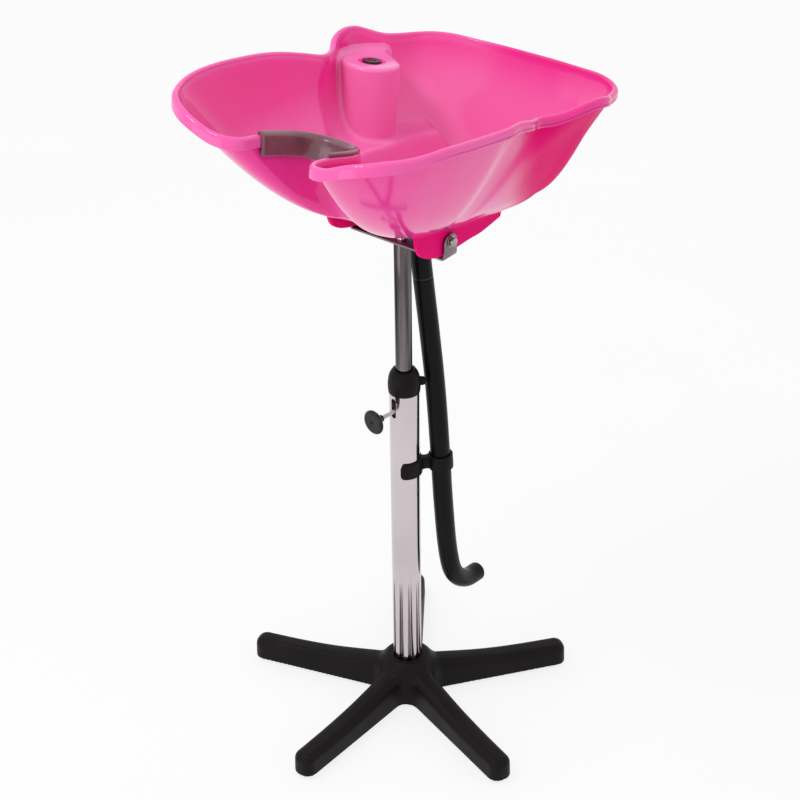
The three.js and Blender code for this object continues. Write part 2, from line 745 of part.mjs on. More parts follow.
// 1 on the wall behind the pillar, where a ledge carries it, and 0 on the rest of the wall
function ledgeWeight(share) {
  const back = backShare(share);
  const start = THREE.MathUtils.smoothstep(back, ...ledgeStartShares);
  const end = THREE.MathUtils.smoothstep(back, ...ledgeEndShares);
  return wallTurn(share) < 0 ? start * (1 - end) : 0;
}

// How steeply the wall curves up: more at the front and back than at the sides
function wallPower(share) {
  const back = backShare(share);
  const aside = THREE.MathUtils.smoothstep(back, ...frontSpanShares);
  const behind = THREE.MathUtils.smoothstep(back, ...backSpanShares);
  const power = THREE.MathUtils.lerp(frontPowerShare, sidePowerShare, aside);
  const plain = THREE.MathUtils.lerp(power, backPowerShare, behind);
  return THREE.MathUtils.lerp(plain, ledgePowerShare, ledgeWeight(share));
}

// Where the wall lands on the floor, for a share of the way round the rim
function footPoint(share) {
  const a = wallTurn(share);
  const rise = footRise + (footBackRise - footRise) * backShare(share);
  return new THREE.Vector3(
    footHalfWidth * squared(Math.sin(a)), footCentreY - footHalfLength * squared(Math.cos(a)), rise);
}

function drainPoint(share, radius) {
  const a = wallTurn(share);
  return new THREE.Vector3(radius * Math.sin(a), drainY - radius * Math.cos(a), floorRise);
}

// The rim's inner edge with its short waves evened out, except round the neck recess
function evenRim(share) {
  const sum = new THREE.Vector3();
  for (let i = -evenCount; i <= evenCount; i += 1) {
    sum.add(rimPoint((share + (i * evenReachShare) / evenCount + 1) % 1, 0, 0));
  }
  const weight = THREE.MathUtils.smoothstep(backShare(share), ...evenStartShares);
  return rimPoint(share, 0, 0).lerp(sum.divideScalar(2 * evenCount + 1), weight);
}

// Inner surface: height is 0 at the drain, 1 where the floor meets the wall and 2 at the rim
function innerPoint(share, height) {
  const foot = footPoint(share);
  if (height <= seatShare) {
    return drainPoint(share, drainHoleRadius + (drainSeatRadius - drainHoleRadius) * (height / seatShare));
  }
  if (height <= 1) {
    const out = (height - seatShare) / (1 - seatShare);
    return new THREE.Vector3().lerpVectors(drainPoint(share, drainSeatRadius), foot, out)
      .setZ(floorRise + (foot.z - floorRise) * out * out);
  }
  const rim = rimPoint(share, 0, 0);
  const out = height - 1;
  const ledge = ledgeWeight(share);
  const step = stepRise * backShare(share) + ledgeRise * ledge;
  const start = foot.z + step * Math.min(out / THREE.MathUtils.lerp(stepShare, ledgeShare, ledge), 1);
  const top = evenRim(share).lerp(rim, THREE.MathUtils.smoothstep(out, ...waveShares));
  const point = new THREE.Vector3().lerpVectors(foot, top, out);
  return point.setZ(start + (rim.z - foot.z - step) * out ** wallPower(share));
}

function innerNormal(share, height) {
  const d = 0.002;
  const along = innerPoint((share + d) % 1, height).sub(innerPoint((share - d + 1) % 1, height));
  const up = innerPoint(share, Math.min(height + d, 2)).sub(innerPoint(share, Math.max(height - d, 0)));
  const normal = new THREE.Vector3().crossVectors(along, up).normalize();
  return normal.z > 0 ? normal.negate() : normal;
}

function offsetPoint(share, height, distance) {
  return innerPoint(share, height).addScaledVector(innerNormal(share, height), distance);
}

// Level direction square to the rim, away from the bowl
function rimOut(share) {
  const d = 0.002;
  const along = rimCurve.getPoint((share + d) % 1).sub(rimCurve.getPoint((share - d + 1) % 1));
  return new THREE.Vector3(along.y, -along.x, 0).normalize();
}

function rimPoint(share, out, up) {
  return rimCurve.getPoint(share % 1).addScaledVector(rimOut(share), out - rimInset)
    .add(new THREE.Vector3(0, 0, up));
}

const wallShares = [1 + stepShare, 1.3, 1.58, 1.85];
const ledgeWallShares = [1 + ledgeShare, 1.5, 1.75, 1.9];
const floorShares = [seatShare, 0.65];

// Levels of the rows of one column between the drain's edge and the rim
function levelsOf(share) {
  const wall = wallShares.map((h, i) => THREE.MathUtils.lerp(h, ledgeWallShares[i], ledgeWeight(share)));
  return [...floorShares, 1, ...wall];
}

function bowlSection(share) {
  const inside = [0, ...levelsOf(share)].map((h) => innerPoint(share, h));
  const lip = [[0, 0], [flangeRoll, flangeRoll], [flangeWidth - flangeRoll, flangeRoll * 0.9],
    [flangeWidth, -flangeRoll / 2], [flangeWidth, -flangeDrop],
    [flangeWidth - flangeWall, -flangeDrop], [flangeWidth - flangeWall, -flangeWall - flangeRoll],
    [bowlWall, -flangeWall - flangeRoll]].map(([out, up]) => rimPoint(share, out, up));
  const outside = [0, ...levelsOf(share)].reverse().map((h) => offsetPoint(share, h, bowlWall));
  return [...inside, ...lip, ...outside];
}

// A solid as the bowl's inside, grown outwards by a distance, up to the rim
function basin(distance) {
  const shares = [...Array(rimSteps).keys()].map((i) => i / rimSteps);
  const columns = shares.map((s) => [...levelsOf(s), 2].map((h) => offsetPoint(s, h, distance)));
  const rings = columns[0].map((_, row) => columns.map((column) => column[row]));
  return cappedLoft(rings);
}

function pillarSolid(grow, low, high) {
  const steps = 10;
  const outward = new THREE.Vector2(pillarX, pillarY).normalize();
  const side = new THREE.Vector2(-outward.y, outward.x);
  const outline = [];
  const radius = pillarRadius + grow;
  for (let i = 0; i <= steps; i += 1) {
    const a = -Math.PI / 2 + (Math.PI * i) / steps;
    outline.push(new THREE.Vector2(pillarX, pillarY)
      .addScaledVector(outward, -radius * Math.cos(a)).addScaledVector(side, radius * Math.sin(a)));
  }
  const back = pillarRadius * 2.4;
  for (const half of [radius, -radius]) {
    outline.push(new THREE.Vector2(pillarX, pillarY)
      .addScaledVector(outward, back).addScaledVector(side, half));
  }
  const shape = new THREE.Shape(outline);
  return new THREE.ExtrudeGeometry(shape, { depth: high - low, bevelEnabled: false }).translate(0, 0, low);
}

// Lower edge of a lug in shares of its reach and of the bracket's depth below the axis
const stripDepth = tiltAxisHeight - stripTop;
const lugShares = [
  [-0.61, 1.15], [-0.56, 0.13], [-0.49, -0.42], [-0.34, -0.76], [-0.07, -0.88], [0.16, -0.7],
  [0.45, -0.42], [0.63, -0.28], [1, 0.31],
];

function lugSolid(xLow) {
  const outline = lugShares.map(([y, z]) => [y * lugReach, z * stripDepth]);
  outline.push([lugReach, lugTopRise], [lugShares[0][0] * lugReach, lugTopRise]);
  return plateYZ(outline, lugThickness, xLow);
}

const lugInner = bracketHalfSpan - bracketThickness - lugGap - lugThickness;

function bowlShell() {
  const shares = [...Array(rimSteps).keys()].map((i) => i / rimSteps);
  const shell = toSolid(closedLoft(shares.map(bowlSection)));
  const middle = toSolid(basin(bowlWall / 2));
  const pillar = toSolid(pillarSolid(0, pillarLow, pillarTop)).intersect(middle);
  const pillarHollow = toSolid(pillarSolid(-pillarWall, -rimRise, pillarTop - pillarWall));
  let solid = shell.add(pillar).subtract(pillarHollow);
  for (const x of [lugInner, -lugInner - lugThickness]) {
    solid = solid.add(toSolid(lugSolid(x)).subtract(middle));
  }
  const boltWay = bar(tiltBoltRadius + seatGap, -bracketHalfSpan, bracketHalfSpan, 20).rotateY(Math.PI / 2);
  const tapHole = join(
    bar(tapHoleRadius + seatGap, pillarTop - 2 * pillarWall, pillarTop, 24),
    bar(plugDiscRadius + seatGap, pillarTop - plugSeatDepth, pillarTop + cutOverrun, 28));
  solid = solid.subtract(toSolid(boltWay)).subtract(toSolid(tapHole.translate(pillarX, pillarY, 0)));
  return toGeometry(solid);
}

const bowl = new THREE.Group();
bowl.position.set(0, 0, tiltAxisHeight);
bowl.rotation.x = -bowlTiltBack;
unit.add(bowl);
piece('bowl_shell', bowlShell(), pink, bowl);

// Neck pad: a rubber channel over the flange of the recess
function padSection(share) {
  const clear = seatGap * 2;
  const top = flangeRoll + clear;
  const out = flangeWidth + clear;
  return [[flangeRoll, top], [flangeRoll - padThickness * 0.4, top + padThickness * 0.3],
    [flangeRoll, top + padThickness * 0.9], [flangeWidth / 2, top + padThickness],
    [out, top + padThickness * 0.6], [out + padThickness, -flangeDrop * 0.2],
    [out + padThickness * 1.1, -padDrop * 0.6], [out + padThickness * 0.7, -padDrop],
    [out - padThickness * 0.2, -padDrop], [out, -padDrop * 0.8], [out, -flangeRoll],
    [out - flangeRoll * 0.7, top - flangeRoll * 0.2], [flangeWidth / 2, top],
  ].map(([m, z]) => rimPoint(share, m, z));
}

function neckPad() {
  const reach = (recessShares.length - 2) * stepsPerPoint;
  const rings = [];
  for (let i = -reach; i <= reach; i += 1) rings.push(padSection((i / rimSteps + 1) % 1));
  return cappedLoft(rings);
}
piece('neck_pad', neckPad(), padRubber, bowl);

// Blanking plug in the tap hole of the pillar
function tapPlug() {
  const top = pillarTop - plugSeatDepth + seatGap;
  return cut(turned([[0, top - plugStemLength], [tapHoleRadius, top - plugStemLength], [tapHoleRadius, top],
    [plugDiscRadius, top], [plugDiscRadius, top + plugDiscHeight * 0.7],
    [plugDiscRadius - plugDiscHeight * 0.3, top + plugDiscHeight], [0, top + plugDiscHeight]], 28),
  block([-plugDiscRadius * 0.55, -plugDiscHeight / 3, top + plugDiscHeight * 0.6],
    [plugDiscRadius * 0.55, plugDiscHeight / 3, top + plugDiscHeight + cutOverrun]));
}
piece('tap_hole_plug', tapPlug(), blackNylon, bowl).position.set(pillarX, pillarY, 0);

// Drain: strainer cup, back nut, tailpiece and a stopper that lifts out
const drain = new THREE.Group();
drain.position.set(0, drainY, floorRise);
bowl.add(drain);

function strainer() {
  const lipTop = strainerLip + seatGap;
  const throat = drainHoleRadius - runGap;
  const low = -bowlWall - backNutHeight - seatGap * 2;
  const cup = turned([[0, low], [tailRadius + tailWall, low], [throat, low + bowlWall], [throat, seatGap],
    [strainerRadius, seatGap], [strainerRadius, lipTop - strainerLip / 3],
    [strainerRadius - strainerLip, lipTop], [throat - bowlWall / 2, lipTop],
    [throat - bowlWall / 2, low + bowlWall * 1.6], [0, low + bowlWall * 1.6]], 28);
  const slots = [];
  for (let i = 0; i < strainerSlots; i += 1) {
    const slot = block([strainerStemRadius * 1.3, -strainerSlotWidth / 2, low - cutOverrun],
      [tailRadius - tailWall, strainerSlotWidth / 2, low + 2 * bowlWall]);
    slots.push(slot.rotateZ((2 * Math.PI * i) / strainerSlots));
  }
  return cut(cup, ...slots);
}
piece('drain_strainer', strainer(), chrome, drain);

piece('drain_back_nut', hexNut(backNutRadius, drainHoleRadius, -bowlWall - seatGap - backNutHeight,
  -bowlWall - seatGap), greyPlastic, drain);

const tailTop = -bowlWall - backNutHeight - 3 * seatGap;
const tailLow = tailTop - tailLength;
const tailShoulder = tailLow + hoseGrip;
piece('drain_tailpiece', turned([
  [joinerBore, tailTop], [drainHoleRadius - runGap, tailTop], [drainHoleRadius - runGap, tailTop - tailWall],
  [tailRadius, tailTop - 2 * tailWall], [tailRadius, tailShoulder + tailWall],
  [gripRadius, tailShoulder + tailWall], [gripRadius, tailLow], [joinerBore, tailLow], [joinerBore, tailTop],
], 24), greyPlastic, drain);

// The band that holds the connector on the tailpiece, with its screw housing
function hoseClamp() {
  const middle = tailShoulder - hoseGrip / 2;
  const inner = hoseRadius + seatGap;
  const band = pipe(inner, inner + hoseClampWall, middle - hoseClampBand / 2, middle + hoseClampBand / 2, 24);
  const housing = block([-hoseClampScrew / 2, -inner - hoseClampScrew * 0.8, middle - hoseClampBand / 2],
    [hoseClampScrew / 2, -inner - hoseClampWall / 2, middle + hoseClampBand / 2]);
  const way = bar(inner + hoseClampWall / 2, middle - hoseClampBand, middle + hoseClampBand);
  return join(band, cut(housing, way));
}
piece('hose_clamp', hoseClamp().rotateZ(Math.PI), zinc, drain);

function stopper() {
  const seat = strainerLip + 2 * seatGap;
  const high = seat + plugFlangeHeight;
  return turned([[0, seat - plugDepth], [plugRadius * 0.9, seat - plugDepth], [plugRadius, seat],
    [plugFlangeRadius, seat], [plugFlangeRadius, high - plugFlangeHeight / 3],
    [plugFlangeRadius - plugFlangeHeight / 3, high], [plugKnobRadius * 0.6, high],
    [plugKnobRadius * 0.6, high + plugKnobHeight * 0.45], [plugKnobRadius, high + plugKnobHeight * 0.7],
    [plugKnobRadius * 0.8, high + plugKnobHeight], [0, high + plugKnobHeight]], 22);
}
piece('drain_stopper', stopper(), blackRubber, drain);

// Tilt bolts, washers and nuts on each side
const earOut = bracketHalfSpan;
const lugIn = lugInner;
for (const [side, sign] of [['right', 1], ['left', -1]]) {
  const turnOut = (geometry) => geometry.rotateY((sign * Math.PI) / 2).translate(0, 0, tiltAxisHeight);
  const washerLow = earOut + seatGap;
  const headLow = washerLow + tiltWasherThickness + seatGap;
  const shankLow = lugIn - seatGap - tiltNutHeight - tiltWasherThickness;
  piece(`tilt_bolt_${side}`, turnOut(join(
    bar(tiltBoltRadius, shankLow, headLow + tiltBoltHeadHeight / 2, 16),
    bar(tiltBoltHeadRadius, headLow, headLow + tiltBoltHeadHeight, 6))), zinc, column);
  piece(`tilt_washer_${side}`, turnOut(pipe(tiltWasherRadius, tiltBoltRadius + seatGap, washerLow,
    washerLow + tiltWasherThickness, 20)), zinc, column);
  piece(`tilt_nut_${side}`, turnOut(hexNut(tiltNutRadius, tiltBoltRadius + seatGap,
    lugIn - seatGap - tiltNutHeight, lugIn - seatGap)), zinc, column);
}

// Hoses: an open tube drawn along a route
function hoseTube(path, steps) {
  const shape = new THREE.Shape().absarc(0, 0, hoseRadius, 0, 2 * Math.PI, false);
  shape.holes.push(new THREE.Path().absarc(0, 0, hoseBore, 0, 2 * Math.PI, true));
  return new THREE.ExtrudeGeometry(shape, {
    steps, extrudePath: path, curveSegments: hoseSides / 2, bevelEnabled: false,
  });
}

// A route shortened at one end by a length
function trimmed(route, fromStart, fromEnd) {
  const points = route.map((p) => p.clone());
  const last = points.length - 1;
  const start = new THREE.Vector3().subVectors(points[1], points[0]).setLength(fromStart);
  const end = new THREE.Vector3().subVectors(points[last - 1], points[last]).setLength(fromEnd);
  points[0].add(start);
  points[last].add(end);
  return new THREE.CatmullRomCurve3(points);
}

const halfCollar = joinerCollar / 2 + seatGap;
piece('hose_connector', hoseTube(trimmed(connectorRoute, seatGap, halfCollar), 6), blackNylon, unit);
piece('waste_hose', hoseTube(trimmed(hoseRoute, halfCollar, 0), 30), blackNylon, unit);

// Joiner between the connector and the hose: two spigots and a collar as wide as the hoses
const joiner = turned([
  [joinerBore, -joinerGrip], [gripRadius, -joinerGrip], [gripRadius, -joinerCollar / 2],
  [hoseRadius, -joinerCollar / 2], [hoseRadius, joinerCollar / 2], [gripRadius, joinerCollar / 2],
  [gripRadius, joinerGrip], [joinerBore, joinerGrip], [joinerBore, -joinerGrip]], 18);
const joinerAxis = hosePath.getTangent(0).negate();
piece('hose_joiner', joiner, blackNylon, unit).position.copy(hoseRoute[0]);
unit.getObjectByName('hose_joiner').quaternion.setFromUnitVectors(new THREE.Vector3(0, 0, 1), joinerAxis);

const hoseNames = ['hose_connector', 'waste_hose', 'hose_joiner'];
unit.updateMatrixWorld(true);
const box = new THREE.Box3();
unit.traverse((child) => {
  if (child.isMesh && !hoseNames.includes(child.name)) box.expandByObject(child, true);
});
const centre = box.getCenter(new THREE.Vector3());
unit.position.set(-centre.x, -centre.y, -box.min.z);

export default unit;
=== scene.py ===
# %% [markdown]
# # Backwash shampoo unit
# A salon's washing bowl that stands by itself. A glossy pink bowl with a neck recess and a tap
# pillar tilts on a bent steel strip. A chrome column over a black star base carries it, and the
# waste hose hangs beside the column. The lesson builds each piece as a surface worked out with numpy.
# Lengths in the tables are millimetres about the column's axis, as they would be measured on the
# real thing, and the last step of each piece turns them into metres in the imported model's frame.

import json
import math

import bpy
import numpy as np
from mathutils import Matrix, Vector
from mathutils.bvhtree import BVHTree


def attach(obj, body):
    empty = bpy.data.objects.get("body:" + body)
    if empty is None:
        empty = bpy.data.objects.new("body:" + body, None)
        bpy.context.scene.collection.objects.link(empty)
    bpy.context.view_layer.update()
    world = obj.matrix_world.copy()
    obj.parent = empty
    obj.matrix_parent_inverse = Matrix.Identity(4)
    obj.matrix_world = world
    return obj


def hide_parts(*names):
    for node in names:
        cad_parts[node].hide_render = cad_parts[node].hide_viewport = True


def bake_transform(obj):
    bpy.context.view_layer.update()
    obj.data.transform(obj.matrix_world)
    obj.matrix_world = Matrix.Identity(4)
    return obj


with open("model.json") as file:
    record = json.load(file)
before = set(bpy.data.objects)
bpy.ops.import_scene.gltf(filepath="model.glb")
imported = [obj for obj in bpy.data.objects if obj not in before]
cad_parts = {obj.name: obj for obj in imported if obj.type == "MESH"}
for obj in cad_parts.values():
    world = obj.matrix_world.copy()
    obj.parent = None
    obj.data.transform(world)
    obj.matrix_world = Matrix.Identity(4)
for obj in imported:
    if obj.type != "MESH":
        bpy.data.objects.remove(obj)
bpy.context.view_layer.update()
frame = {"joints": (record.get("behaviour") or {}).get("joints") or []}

# %% [markdown]
# ## Frames
# The column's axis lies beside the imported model's origin, and the bowl leans on its tilt bolts.
# Each piece could be drawn where it stands, but sizes are easier to read upright and centred. So
# two functions carry whole arrays of points from the drawing frame to the model's frame, once.

# %% From drawing to model
MM = 0.001
UP = np.array([0.0, 0.0, 1.0])
joints = {joint["name"]: joint for joint in frame["joints"]}
COLUMN = np.array([0.0, joints["mast_swivel"]["pos_m"][1], 0.0]) / MM
TILT, AXIS_Z = math.radians(9.1), 838.0


def to_row(points):
    """Millimetres about the column to metres in the model's frame: shift by the axis, then scale."""
    return (np.asarray(points, float) + COLUMN) * MM


def tilted(points):
    """The bowl's frame to the column's: a turn about X by the tilt, then a lift to the bolts."""
    p = np.asarray(points, float)
    c, s = math.cos(TILT), math.sin(TILT)
    return np.stack([p[..., 0], p[..., 1] * c + p[..., 2] * s,
                     AXIS_Z - p[..., 1] * s + p[..., 2] * c], -1)


print("column's axis at y =", COLUMN[1], "mm, tilt bolts", AXIS_Z, "mm up")

# %% [markdown]
# ## Camera
# A picture of the model can be laid over the photograph only if the camera stands where the real
# one stood. The five equal legs of the base, taken as a regular star, give its focal length, its
# distance and its three angles. The lens is written for a 36 mm sensor, as Blender expects.

# %% Place the camera
SENSOR, PHOTO_WIDTH, FOCAL_PIXELS = 36, 800, 1918.42203
PITCH, YAW, ROLL = 0.552816988, -0.0026703478, -0.0144898849
CAMERA_BACK, CAMERA_HEIGHT, VIEW_TURN = 2406.8, 2034.8, math.radians(51)


def make_camera():
    """Forward comes from pitch and yaw, right and top are turned by roll, and all turn about Z."""
    forward = np.array([math.sin(YAW) * math.cos(PITCH), math.cos(YAW) * math.cos(PITCH),
                        -math.sin(PITCH)])
    right = np.array([math.cos(YAW), -math.sin(YAW), 0.0])
    up = np.cross(right, forward)
    side = math.cos(ROLL) * right + math.sin(ROLL) * up
    top = -math.sin(ROLL) * right + math.cos(ROLL) * up
    turn = np.array([[math.sin(VIEW_TURN), -math.cos(VIEW_TURN), 0],
                     [math.cos(VIEW_TURN), math.sin(VIEW_TURN), 0], [0, 0, 1]])
    place = to_row(turn @ np.array([0.0, -CAMERA_BACK, CAMERA_HEIGHT]))
    axes = np.stack([turn @ side, turn @ top, turn @ -forward], 1)
    data = bpy.data.cameras.new("camera")
    data.lens, data.sensor_width = FOCAL_PIXELS * SENSOR / PHOTO_WIDTH, SENSOR
    camera = bpy.data.objects.new("camera", data)
    camera.matrix_world = Matrix([[*axes[i], place[i]] for i in range(3)] + [[0, 0, 0, 1]])
    bpy.context.scene.collection.objects.link(camera)
    bpy.context.scene.camera = camera
    print("camera with a", round(data.lens, 2), "mm lens at", np.round(place, 3))


make_camera()

# %% [markdown]
# ## Surfaces from arrays
# Moulded, turned and bent parts all have surfaces that two numbers can address, such as the turn
# round an axis and the step along a profile. Blender's own primitives would give plain cylinders, so
# each surface here is a grid of points instead, and the quads between them follow by counting.
# A part is a pair: its points and its faces.

# %% Grids and solids
def grid(points, wrap_u=False, wrap_v=False):
    """Quads (i, j), (i+1, j), (i+1, j+1), (i, j+1) over a grid of points, closed where it wraps."""
    nu, nv = points.shape[:2]
    i, j = np.meshgrid(np.arange(nu if wrap_u else nu - 1), np.arange(nv if wrap_v else nv - 1),
                       indexing="ij")
    i2, j2 = (i + 1) % nu, (j + 1) % nv
    faces = np.stack([i * nv + j, i2 * nv + j, i2 * nv + j2, i * nv + j2], -1).reshape(-1, 4)
    return points.reshape(-1, 3), faces.tolist()


def flipped(part):
    """The same part with each face's order of points turned round."""
    return part[0], [f[::-1] for f in part[1]]


def outward(part):
    """A closed part looks out where the sum of a . (b x c) over its triangles is positive."""
    v, faces = part
    fan = np.array([(f[0], f[k], f[k + 1]) for f in faces for k in range(1, len(f) - 1)])
    a, b, c = (v[fan] - v.mean(0)).transpose(1, 0, 2)
    return flipped(part) if np.einsum("ij,ij->i", a, np.cross(b, c)).sum() < 0 else part


def capped(rings):
    """A loft of closed rings, with a fan from the mean of the first and of the last ring."""
    rings = np.array(rings)
    v, faces = grid(rings, wrap_v=True)
    n = rings.shape[1]
    last = (rings.shape[0] - 1) * n
    v = np.concatenate([v, rings[0].mean(0)[None], rings[-1].mean(0)[None]])
    for k in range(n):
        faces.append([len(v) - 2, (k + 1) % n, k])
        faces.append([len(v) - 1, last + k, last + (k + 1) % n])
    return outward((v, faces))


def spun(r, z, turn):
    """Radius and height carried round Z: x = r cos(turn), y = r sin(turn)."""
    return np.stack(np.broadcast_arrays(r * np.cos(turn), r * np.sin(turn), z), -1)


print("a grid of 3 by 4 points has", len(grid(np.zeros((3, 4, 3)))[1]), "quads")

# %% [markdown]
# ## Turned parts
# Collar, knob, washers and drain fittings are round about one axis. A lathe copies a half profile
# round Z. Where the profile touches the axis a fan closes it, and where its ends meet it makes a
# ring. A warp may move points by their turn, which gives a thread or a slot without a boolean cut.

# %% The lathe
def lathe(profile, sides=96, warp=None):
    """Each profile point (r, z) at each turn a goes to (r cos a, r sin a, z), after the warp."""
    pts = np.array(profile, float)
    closed = np.allclose(pts[0], pts[-1])
    if closed:
        pts = pts[:-1]
    first, last = pts[0, 0] < 1e-6, pts[-1, 0] < 1e-6 and not closed
    ring = pts[int(first):len(pts) - int(last)]
    a = np.linspace(0, 2 * np.pi, sides, endpoint=False)[:, None]
    r, z = (np.repeat(ring[None, :, k], sides, 0) for k in (0, 1))
    if warp is not None:
        r, z = warp(a, r, z)
    v, faces = grid(spun(r, z, a), wrap_u=True, wrap_v=closed)
    m = ring.shape[0]
    for on, edge, point in ((first, 0, pts[0]), (last, m - 1, pts[-1])):
        if on:
            v = np.concatenate([v, [[0, 0, point[1]]]])
            fan = [[len(v) - 1, (k + 1) % sides * m + edge, k * m + edge] for k in range(sides)]
            faces += fan[::1 if edge == 0 else -1]
    return outward((v, faces))


# %% [markdown]
# ## Soft edges and smooth paths
# No edge of a real moulding is sharp: a small curve catches the light and makes it look real. A
# bevel modifier would do it after the fact. Here the profile's corners are rounded before it is
# spun or swept, so each edge has its own radius and the mesh stays light.

# %% Rounded profiles
def soft(points, radius, steps=5):
    """Each corner p becomes the curve (1-t)^2 s + 2t(1-t) p + t^2 e, from s to e on its two sides."""
    pts = np.array(points, float)
    radii = np.broadcast_to(np.asarray(radius, float), len(pts))
    out = [pts[0]]
    t = np.linspace(0, 1, steps)[:, None]
    for p, a, b, r in zip(pts[1:-1], pts[:-2], pts[2:], radii[1:-1]):
        la, lb = np.linalg.norm(a - p), np.linalg.norm(b - p)
        r = min(r, 0.48 * la, 0.48 * lb)
        s, e = p + (a - p) / la * r, p + (b - p) / lb * r
        out.extend((1 - t) ** 2 * s + 2 * t * (1 - t) * p + t ** 2 * e)
    return np.array([*out, pts[-1]])


def soft_loop(points, radius, steps=5):
    """A closed line with every corner rounded: it starts and ends in the middle of a side."""
    pts = np.array(points, float)
    radii = np.broadcast_to(np.asarray(radius, float), len(pts))
    middle = (pts[0] + pts[-1]) / 2
    return soft([middle, *pts, middle], [0, *radii, 0], steps)[:-1]


def oblong(x0, x1, z0, z1, radius, steps=5):
    """A rectangle from (x0, z0) to (x1, z1) with rounded corners."""
    return soft_loop([[x0, z0], [x1, z0], [x1, z1], [x0, z1]], radius, steps)


print("a rounded oblong has", len(oblong(0, 4, 0, 2, 0.5)), "points")

# %% Smooth and even paths
def smooth_path(points, per, closed=False):
    """A cubic through each two points, whose slopes weigh the spans by the root of their lengths."""
    pts = np.array(points, float)
    n = len(pts)
    if closed:
        p = np.concatenate([pts[-1:], pts, pts[:2]])
    else:
        p = np.concatenate([[2 * pts[0] - pts[1]], pts, [2 * pts[-1] - pts[-2]]])
    t = np.linspace(0, 1, per, endpoint=False)[:, None]
    out = []
    for p0, p1, p2, p3 in (p[i:i + 4] for i in range(n if closed else n - 1)):
        d0, d1, d2 = (max(np.linalg.norm(b - a) ** 0.5, 1e-4) for a, b in ((p0, p1), (p1, p2), (p2, p3)))
        t1 = ((p1 - p0) / d0 - (p2 - p0) / (d0 + d1) + (p2 - p1) / d1) * d1
        t2 = ((p2 - p1) / d1 - (p3 - p1) / (d1 + d2) + (p3 - p2) / d2) * d1
        out.append(p1 + t1 * t + (3 * (p2 - p1) - 2 * t1 - t2) * t ** 2
                   + (2 * (p1 - p2) + t1 + t2) * t ** 3)
    return np.concatenate(out if closed else [*out, pts[-1:]])


def lengths(line):
    """Distance along a line at each of its points: the running sum of its steps."""
    return np.concatenate([[0], np.cumsum(np.linalg.norm(np.diff(line[:, :3], axis=0), axis=1))])


def sampled(line, s, at):
    """A line's values at chosen distances, each read off between its neighbours."""
    return np.stack([np.interp(at, s, line[:, k]) for k in range(line.shape[1])], -1)


def even(line, count, closed=False):
    """The same line with points at equal distances along it."""
    pts = np.concatenate([line, line[:1]]) if closed else line
    s = lengths(pts)
    out = sampled(pts, s, np.linspace(0, s[-1], count + 1 if closed else count))
    return out[:-1] if closed else out


def blurred(values, sigma, wrap=True):
    """Each value becomes a mean of its neighbours, weighed by exp(-d^2 / 2 sigma^2)."""
    reach = max(int(3 * sigma), 1)
    k = np.exp(-0.5 * (np.arange(-reach, reach + 1) / sigma) ** 2)
    rim = [(reach, reach)] + [(0, 0)] * (values.ndim - 1)
    padded = np.pad(values, rim, mode="wrap" if wrap else "edge")
    return sum(w * padded[i:i + len(values)] for i, w in enumerate(k / k.sum()))


print("a smooth path through 3 points:", len(smooth_path([[0, 0], [1, 1], [2, 0]], 8)), "points")

# %% Parts carried to their place
def along(line):
    """Tangents of a path, and two directions square to it, each carried on so that nothing twists."""
    tangent = np.gradient(line, axis=0)
    tangent /= np.linalg.norm(tangent, axis=1)[:, None]
    side = np.cross(tangent[0], [0.0, 1.0, 0.0])
    sides = []
    for t in tangent:
        side = side - t * (side @ t)
        side /= np.linalg.norm(side)
        sides.append(side)
    return tangent, np.array(sides), np.cross(tangent, sides)


def ring_at(origin, across, section, up=UP):
    """A flat section stood up: origin + its first value times across + its second times up."""
    section = np.asarray(section)
    return np.asarray(origin, float) + section[:, :1] * np.asarray(across) + section[:, 1:2] * up


def placed(part, axis=(0, 0, 1), at=(0, 0, 0), spin=0.0):
    """A part turned about Z, then with Z swung to an axis, then moved."""
    c, s = math.cos(spin), math.sin(spin)
    v = part[0] @ np.array([[c, -s, 0], [s, c, 0], [0, 0, 1]]).T
    swing = np.array(Vector((0.0, 0.0, 1.0)).rotation_difference(Vector(axis)).to_matrix())
    return v @ swing.T + np.asarray(at, float), part[1]


print("a point up Z, swung to X:", placed((np.array([[0.0, 0, 1]]), []), (1, 0, 0))[0].round(3))

# %% [markdown]
# ## One piece from its parts
# A finished piece is one mesh with its place in its points, so its object sits at the origin. It
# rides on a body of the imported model, so it moves with that body's joints, and stands in for the
# plain solids that it replaces. Smooth shading with sharp edges past an angle keeps flat faces flat.

# %% Make a piece
def piece(name, parts, surface, body, replaces=(), smooth=40, marks=()):
    """One mesh object from parts in millimetres, with its finish, body and stood-for solids."""
    vertices, faces, count = [], [], 0
    for v, f in parts:
        vertices.append(v)
        faces.extend([[k + count for k in face] for face in f])
        count += len(v)
    mesh = bpy.data.meshes.new(name)
    mesh.from_pydata(to_row(np.concatenate(vertices)), [], faces)
    mesh.update()
    mesh.shade_smooth()
    if smooth:
        mesh.set_sharp_from_angle(angle=math.radians(smooth))
    for mark, values in marks:
        layer = mesh.attributes.new(mark, "FLOAT", "POINT")
        layer.data.foreach_set("value", np.asarray(values, np.float32))
    obj = bpy.data.objects.new(name, mesh)
    bpy.context.scene.collection.objects.link(obj)
    mesh.materials.append(surface)
    if body:
        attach(obj, body)
    if replaces:
        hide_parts(*replaces)
    print(f"{name}: {count} points, {len(faces)} faces, {surface.name}")
    return obj


# %% [markdown]
# ## Finishes
# Every finish is worked out by nodes, so it has no picture and stays sharp from close by. Colours are
# written as they look on a screen, from 0 to 255, and are turned into light values here. The class
# below keeps a material's tree short: each method adds one node and gives back its output.

